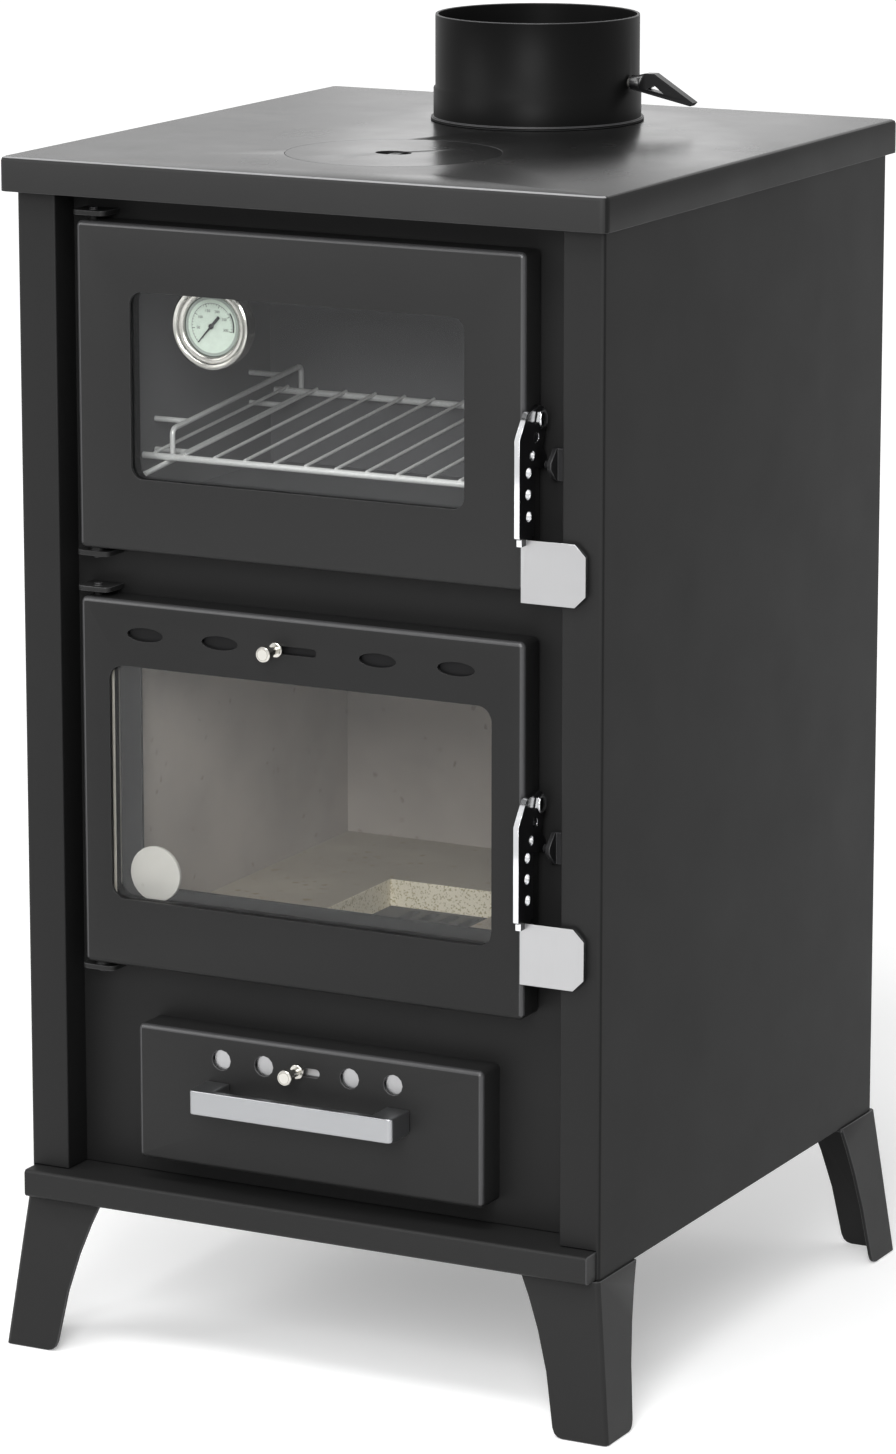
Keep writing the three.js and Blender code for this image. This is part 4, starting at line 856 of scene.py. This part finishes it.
def dial_spot(centre, radius_mm, angle_deg):
    """A place on the dial as (x, z), in metres."""
    turn = math.radians(angle_deg)
    return centre.x + mm(radius_mm) * math.sin(turn), centre.z + mm(radius_mm) * math.cos(turn)


def arc_band(bm, centre, radii_mm, angles_deg, depths_mm, steps):
    """Part of a flat ring on the dial, between two angles."""
    start, end = angles_deg
    outline = []
    for radius, shares in zip(radii_mm, (range(steps + 1), range(steps, -1, -1))):
        for k in shares:
            outline.append(dial_spot(centre, radius, start + (end - start) * k / steps))
    slab(bm, outline, *mm(*depths_mm), "y")


def flat_ring(centre, radii_mm, depths_mm):
    """A whole flat ring on the dial."""
    (inner, outer), (near, far) = radii_mm, depths_mm
    section = [(inner, near), (outer, near), (outer, far), (inner, far)]
    return lathe(bmesh.new(), section, centre, "y", RING_STEPS)


def make_case(centre):
    """Turned case whose rim steps down to the dial."""
    node = "thermometer_case"
    low, high = corners_of(node)
    bm = lathe(bmesh.new(), from_ends(CASE_MM, low.y * 1000, high.y * 1000), centre, "y", CASE_STEPS)
    fine_piece(node, bm, SATIN_CHROME, TURNED_SMOOTH_DEG)


def make_dial(centre, face):
    """Round sheet of the dial; face is its front, in millimetres."""
    back = face + DIAL_SHEET_MM
    profile = [(0, face), (DIAL_RADIUS_MM, face), (DIAL_RADIUS_MM, back), (0, back)]
    fine_piece("thermometer_dial", lathe(bmesh.new(), profile, centre, "y", CASE_STEPS), DIAL)


def dial_print(centre, depths):
    """Dark print on the dial: rim, scale line, hot band and marks."""
    bm = flat_ring(centre, RIM_RING_MM, depths)
    scale_deg = SCALE_START_DEG, SCALE_START_DEG + SCALE_SWEEP_DEG
    arc_band(bm, centre, SCALE_LINE_MM, scale_deg, depths, SCALE_STEPS)
    arc_band(bm, centre, HOT_BAND_MM, HOT_BAND_DEG, depths, HOT_STEPS)
    for k in range(MARKS):
        turn = SCALE_START_DEG + MARK_GAP_DEG * k
        foot, half = SHORT_MARK_FOOT_MM, SHORT_MARK_HALF_DEG
        if k % MARKS_PER_NUMBER == 0:
            foot, half = LONG_MARK_FOOT_MM, LONG_MARK_HALF_DEG
        arc_band(bm, centre, (foot, MARK_TOP_MM), (turn - half, turn + half), depths, steps=1)
    return bm


def make_thermometer():
    middle = middle_of("thermometer_case")
    centre = Vector((middle.x, 0, middle.z))
    face = corners_of("thermometer_dial")[LOW].y * 1000
    make_case(centre)
    make_dial(centre, face)

    body = BODY_OF["thermometer_dial"]
    near = face - PRINT_NEAR_MM
    depths = near, face - PRINT_FAR_MM
    # A darker ring just inside the case's rim: a painted shadow of the rim.
    shadow = mesh_of("thermometer_painted_shadow", flat_ring(centre, SHADOW_RING_MM, depths))
    shadow_ring = link("thermometer_painted_shadow", shadow, body, DIAL_PAINTED_SHADOW)
    lines = mesh_of("thermometer_print", dial_print(centre, depths))
    ring = link("thermometer_print", lines, body, DIAL_INK)
    for k, words in enumerate(NUMBERS):
        turn = SCALE_START_DEG + MARK_GAP_DEG * MARKS_PER_NUMBER * k
        x, z = dial_spot(centre, NUMBER_PLACE_MM, turn)
        text_on_dial(f"thermometer_number_{k}", words, x, mm(near), z)


# Needle

# Along the blade from the hub, and across it
BLADE_MM = (
    (15.6, 0.25), (15.6, -0.25), (0, -0.75), (-2, -1.0), (-9.2, -1.1), (-9.2, 1.1), (-2, 1.0), (0, 0.75),
)
BLADE_NEAR_MM, BLADE_FAR_MM = 0.6, 1.0

# Radius, and depth behind the front
CAP_MM = ((0, 0), (1.3, 0.05), (1.9, 0.4), (1.9, 1.1), (0, 1.1))
CAP_STEPS = 40


def make_needle():
    """Slim tapered needle with a turned cap over its hub, resting at the start of the scale."""
    node = "thermometer_needle"
    front = corners_of(node)[LOW].y * 1000
    middle = middle_of("thermometer_case")
    turn = math.radians(SCALE_START_DEG)
    along = Vector((math.sin(turn), math.cos(turn)))
    across = Vector((along.y, -along.x))
    hub = Vector((middle.x, middle.z))
    outline = [tuple(hub + along * mm(u) + across * mm(v)) for u, v in BLADE_MM]
    bm = slab(bmesh.new(), outline, mm(front + BLADE_NEAR_MM), mm(front + BLADE_FAR_MM), "y")
    cap = [(radius, front + depth) for radius, depth in CAP_MM]
    lathe(bm, cap, Vector((middle.x, 0, middle.z)), "y", CAP_STEPS)
    fine_piece(node, bm, NEEDLE)


# Rack and runners

# Radii of the bars, wires and runners
BAR_MM, WIRE_MM, RUNNER_MM = 2.5, 1.25, 2.0
RACK_SLOPE = math.tan(math.radians(5.5))
PITCH_MM, WIRES = 24, 14
WIRE_LIFT_MM = 0.2
RUNNER_GAP_MM, RUNNER_HEIGHT_MM, RUNNER_BEND_MM = 0.3, 22, 5
TAIL_MM, POST_MM, STAY_MM = 7, 10, 22


def make_rack():
    """Wire shelf: two thick bars and thin wires welded over them."""
    node = "oven_rack"
    low, high = corners_of(node)
    front, back = low.y + mm(BAR_MM), high.y - mm(BAR_MM)
    base = low.z + mm(BAR_MM)

    def level(y):
        return base + (y - front) * RACK_SLOPE

    bars = [[Vector((side, y, level(y))) for side in (low.x, high.x)] for y in (front, back)]
    rack = round_bar("oven_rack_bars", bars, BAR_MM, BODY_OF[node], WIRE)
    stand_for(node)
    stops = front - mm(WIRE_MM), front + (back - front) / 2, back + mm(WIRE_MM)
    wires = []
    for k in range(WIRES):
        x = middle_of(node).x + mm((k - (WIRES - 1) / 2) * PITCH_MM)
        wires.append([Vector((x, y, level(y) + mm(BAR_MM + WIRE_LIFT_MM))) for y in stops])
    thin = round_bar("oven_rack_wires", wires, WIRE_MM, BODY_OF[node], WIRE)
    return front, back, base


def make_runner(node, side, front, back, base):
    """Bent wire frame on the oven's side wall, which the rack slides on."""
    low, high = corners_of(node)
    inner, wall = (low.x, high.x) if side > 0 else (high.x, low.x)
    x = inner + side * mm(RUNNER_MM)
    drop = mm(BAR_MM + RUNNER_MM + RUNNER_GAP_MM) / math.cos(math.atan(RACK_SLOPE))
    start, tail, post = low.y + mm(RUNNER_MM), back + mm(TAIL_MM), front + mm(POST_MM)

    def place(y, lift_mm):
        return Vector((x, y, base + (y - front) * RACK_SLOPE - drop + mm(lift_mm)))

    corners = ((start, 0), (tail, 0), (tail, RUNNER_HEIGHT_MM), (post, RUNNER_HEIGHT_MM), (post, 0))
    routes = [bent([place(*corner) for corner in corners], RUNNER_BEND_MM)]
    for y in (post + mm(STAY_MM), back - mm(STAY_MM)):
        for lift_mm in (0, RUNNER_HEIGHT_MM):
            near = place(y, lift_mm)
            routes.append([near, Vector((wall, near.y, near.z))])
    runner = round_bar(node + "_wire", routes, RUNNER_MM, BODY_OF[node], WIRE)
    stand_for(node)


# Screws in the back

# Radius, and height over the flange
SCREW_HEAD_MM = ((0, 0), (4.2, 0), (4.2, 0.5), (3.4, 1.4), (1.8, 1.8), (0, 1.8))
SCREW_STEPS = 24
SCREWS = 5
SCREW_INSET_MM = 9
SCREW_FOOT_MM, SCREW_ENDS_MM = 60, 95
SLOT_REACH_MM, SLOT_HALF_MM = 2.2, 0.35
SLOT_FLOOR_MM, SLOT_CUT_MM = 1.1, 3


def cross_outline(reach, half):
    """Outline of a cross slot about its middle: how far its arms reach, and half their width."""
    arm = [(half, half), (half, reach), (-half, reach)]
    outline = []
    for _ in range(4):
        outline += arm
        arm = [(-v, u) for u, v in arm]
    return outline


def make_back_screws():
    """Pan-head screws with cross slots, through the rear flanges of the side panels."""
    for side, node in ((-1, "side_panel_left"), (1, "side_panel_right")):
        low, high = corners_of(node)
        face = high.y * 1000
        head = [(radius, face + height) for radius, height in SCREW_HEAD_MM]
        x = low.x + mm(SCREW_INSET_MM) if side < 0 else high.x - mm(SCREW_INSET_MM)
        for k in range(SCREWS):
            z = low.z + mm(SCREW_FOOT_MM) + (high.z - low.z - mm(SCREW_ENDS_MM)) * k / (SCREWS - 1)
            bm = lathe(bmesh.new(), head, Vector((x, 0, z)), "y", SCREW_STEPS)
            name = f"{node}_screw_{k}"
            screw = link(name, mesh_of(name, bm, TURNED_SMOOTH_DEG), BODY_OF[node], DARK_STEEL)
            cross = [(x + mm(u), z + mm(v)) for u, v in cross_outline(SLOT_REACH_MM, SLOT_HALF_MM)]
            cut = mm(face + SLOT_FLOOR_MM, face + SLOT_CUT_MM)
            cut_holes(screw, slab(bmesh.new(), cross, *cut, "y"))


def make_finer_pieces():
    for node in ("oven_door_gasket", "fire_door_gasket"):
        make_gasket(node)
    make_glass_tape("fire_door_glass")
    for node in ("oven_door_bolt", "fire_door_bolt"):
        make_bolt(node)
    for node in ("air_knob", "drawer_knob"):
        make_knob(node)
    for node in ("oven_door_handle", "fire_door_handle"):
        make_latch(node)
    make_thermometer()
    make_needle()
    rack = make_rack()
    make_runner("rack_runner_left", -1, *rack)
    make_runner("rack_runner_right", 1, *rack)
    make_back_screws()


# Stage and light

FLOOR_CELLS, FLOOR_HALF_M, FLOOR_DROP_M = 8, 9, 0.0005
FLOOR_COLOUR, FLOOR_DARK, FLOOR_PALE = (0.84,) * 3, (0.835,) * 3, (0.85,) * 3
FADE_FROM_M, FADE_TO_M = 0.7, 3.0
NEAR_LIFT, FAR_LIFT = 0.3, 0.62
WORLD_LIGHT, WORLD_SHOWN = 0.55, 1.0

# Lamps: name, place, what it points at and size, all in metres, and watts
LAMPS = (
    ("key_front", (1.1, -3.0, 1.9), (0, 0, 0.45), (1.2, 1.2), 70),
    ("fill_left", (-2.4, -2.0, 2.2), (0, 0, 0.6), (1.6, 1.6), 35),
    ("top_front", (0.2, -1.5, 2.7), (0, -0.2, 0.4), (1.8, 0.7), 40),
    ("low_back", (-1.6, 3.5, 1.55), (0, 0, 0.86), (0.7, 0.6), 1.6),
)


def shown_rays(tree):
    """One for rays from the camera, off metal or through glass, so that these see the pale background."""
    paths = tree.nodes.new("ShaderNodeLightPath")
    value = paths.outputs["Is Camera Ray"]
    for label in ("Is Glossy Ray", "Is Transmission Ray"):
        value = math_node(tree, "MAXIMUM", value, paths.outputs[label])
    return value


def make_floor():
    """Pale floor that fades into the white background and keeps the shadow."""
    bm = bmesh.new()
    bmesh.ops.create_grid(bm, x_segments=FLOOR_CELLS, y_segments=FLOOR_CELLS, size=FLOOR_HALF_M)
    mesh = bpy.data.meshes.new("floor")
    bm.to_mesh(mesh)
    bm.free()
    floor = bpy.data.objects.new("floor", mesh)
    floor.location = (0, 0, -FLOOR_DROP_M)
    bpy.context.collection.objects.link(floor)
    material, tree, shader, place = finish(
        "pale_floor", FLOOR_COLOUR, roughness=0.9, Specular_IOR_Level=0.0)
    dust = noise(tree, place, scale=3, detail=2, rough=0.5)
    tree.links.new(ramp(tree, dust, (0.3, FLOOR_DARK), (0.7, FLOOR_PALE)), shader.inputs["Base Color"])
    shader.inputs["Emission Color"].default_value = (*WHITE, 1)
    reach = tree.nodes.new("ShaderNodeVectorMath")
    reach.operation = "LENGTH"
    tree.links.new(place, reach.inputs[0])
    fade = tree.nodes.new("ShaderNodeMapRange")
    for label, value in (("From Min", FADE_FROM_M), ("From Max", FADE_TO_M),
                         ("To Min", NEAR_LIFT), ("To Max", FAR_LIFT)):
        fade.inputs[label].default_value = value
    tree.links.new(reach.outputs["Value"], fade.inputs["Value"])
    lift = math_node(tree, "MULTIPLY", fade.outputs["Result"], shown_rays(tree))
    tree.links.new(lift, shader.inputs["Emission Strength"])
    mesh.materials.append(material)


def make_world():
    """A grey world lights the object; the camera, reflections and glass see it white."""
    world = bpy.data.worlds.new("studio")
    bpy.context.scene.world = world
    world.use_nodes = True
    tree = world.node_tree
    background = tree.nodes["Background"]
    background.inputs["Color"].default_value = (*WHITE, 1)
    seen = spread(tree, shown_rays(tree), WORLD_LIGHT, WORLD_SHOWN)
    tree.links.new(seen, background.inputs["Strength"])


def make_light(name, place, target, size, watts):
    light = bpy.data.lights.new(name, "AREA")
    light.shape = "RECTANGLE"
    light.size, light.size_y = size
    light.energy = watts
    lamp = bpy.data.objects.new(name, light)
    lamp.location = place
    lamp.rotation_euler = (Vector(target) - Vector(place)).to_track_quat("-Z", "Y").to_euler()
    lamp.visible_camera = False
    bpy.context.collection.objects.link(lamp)


def make_studio():
    make_floor()
    make_world()
    for lamp in LAMPS:
        make_light(*lamp)
    bpy.context.scene.view_settings.view_transform = "Standard"


make_camera()
dress_parts()
dress_hob()
make_finer_pieces()
make_studio()
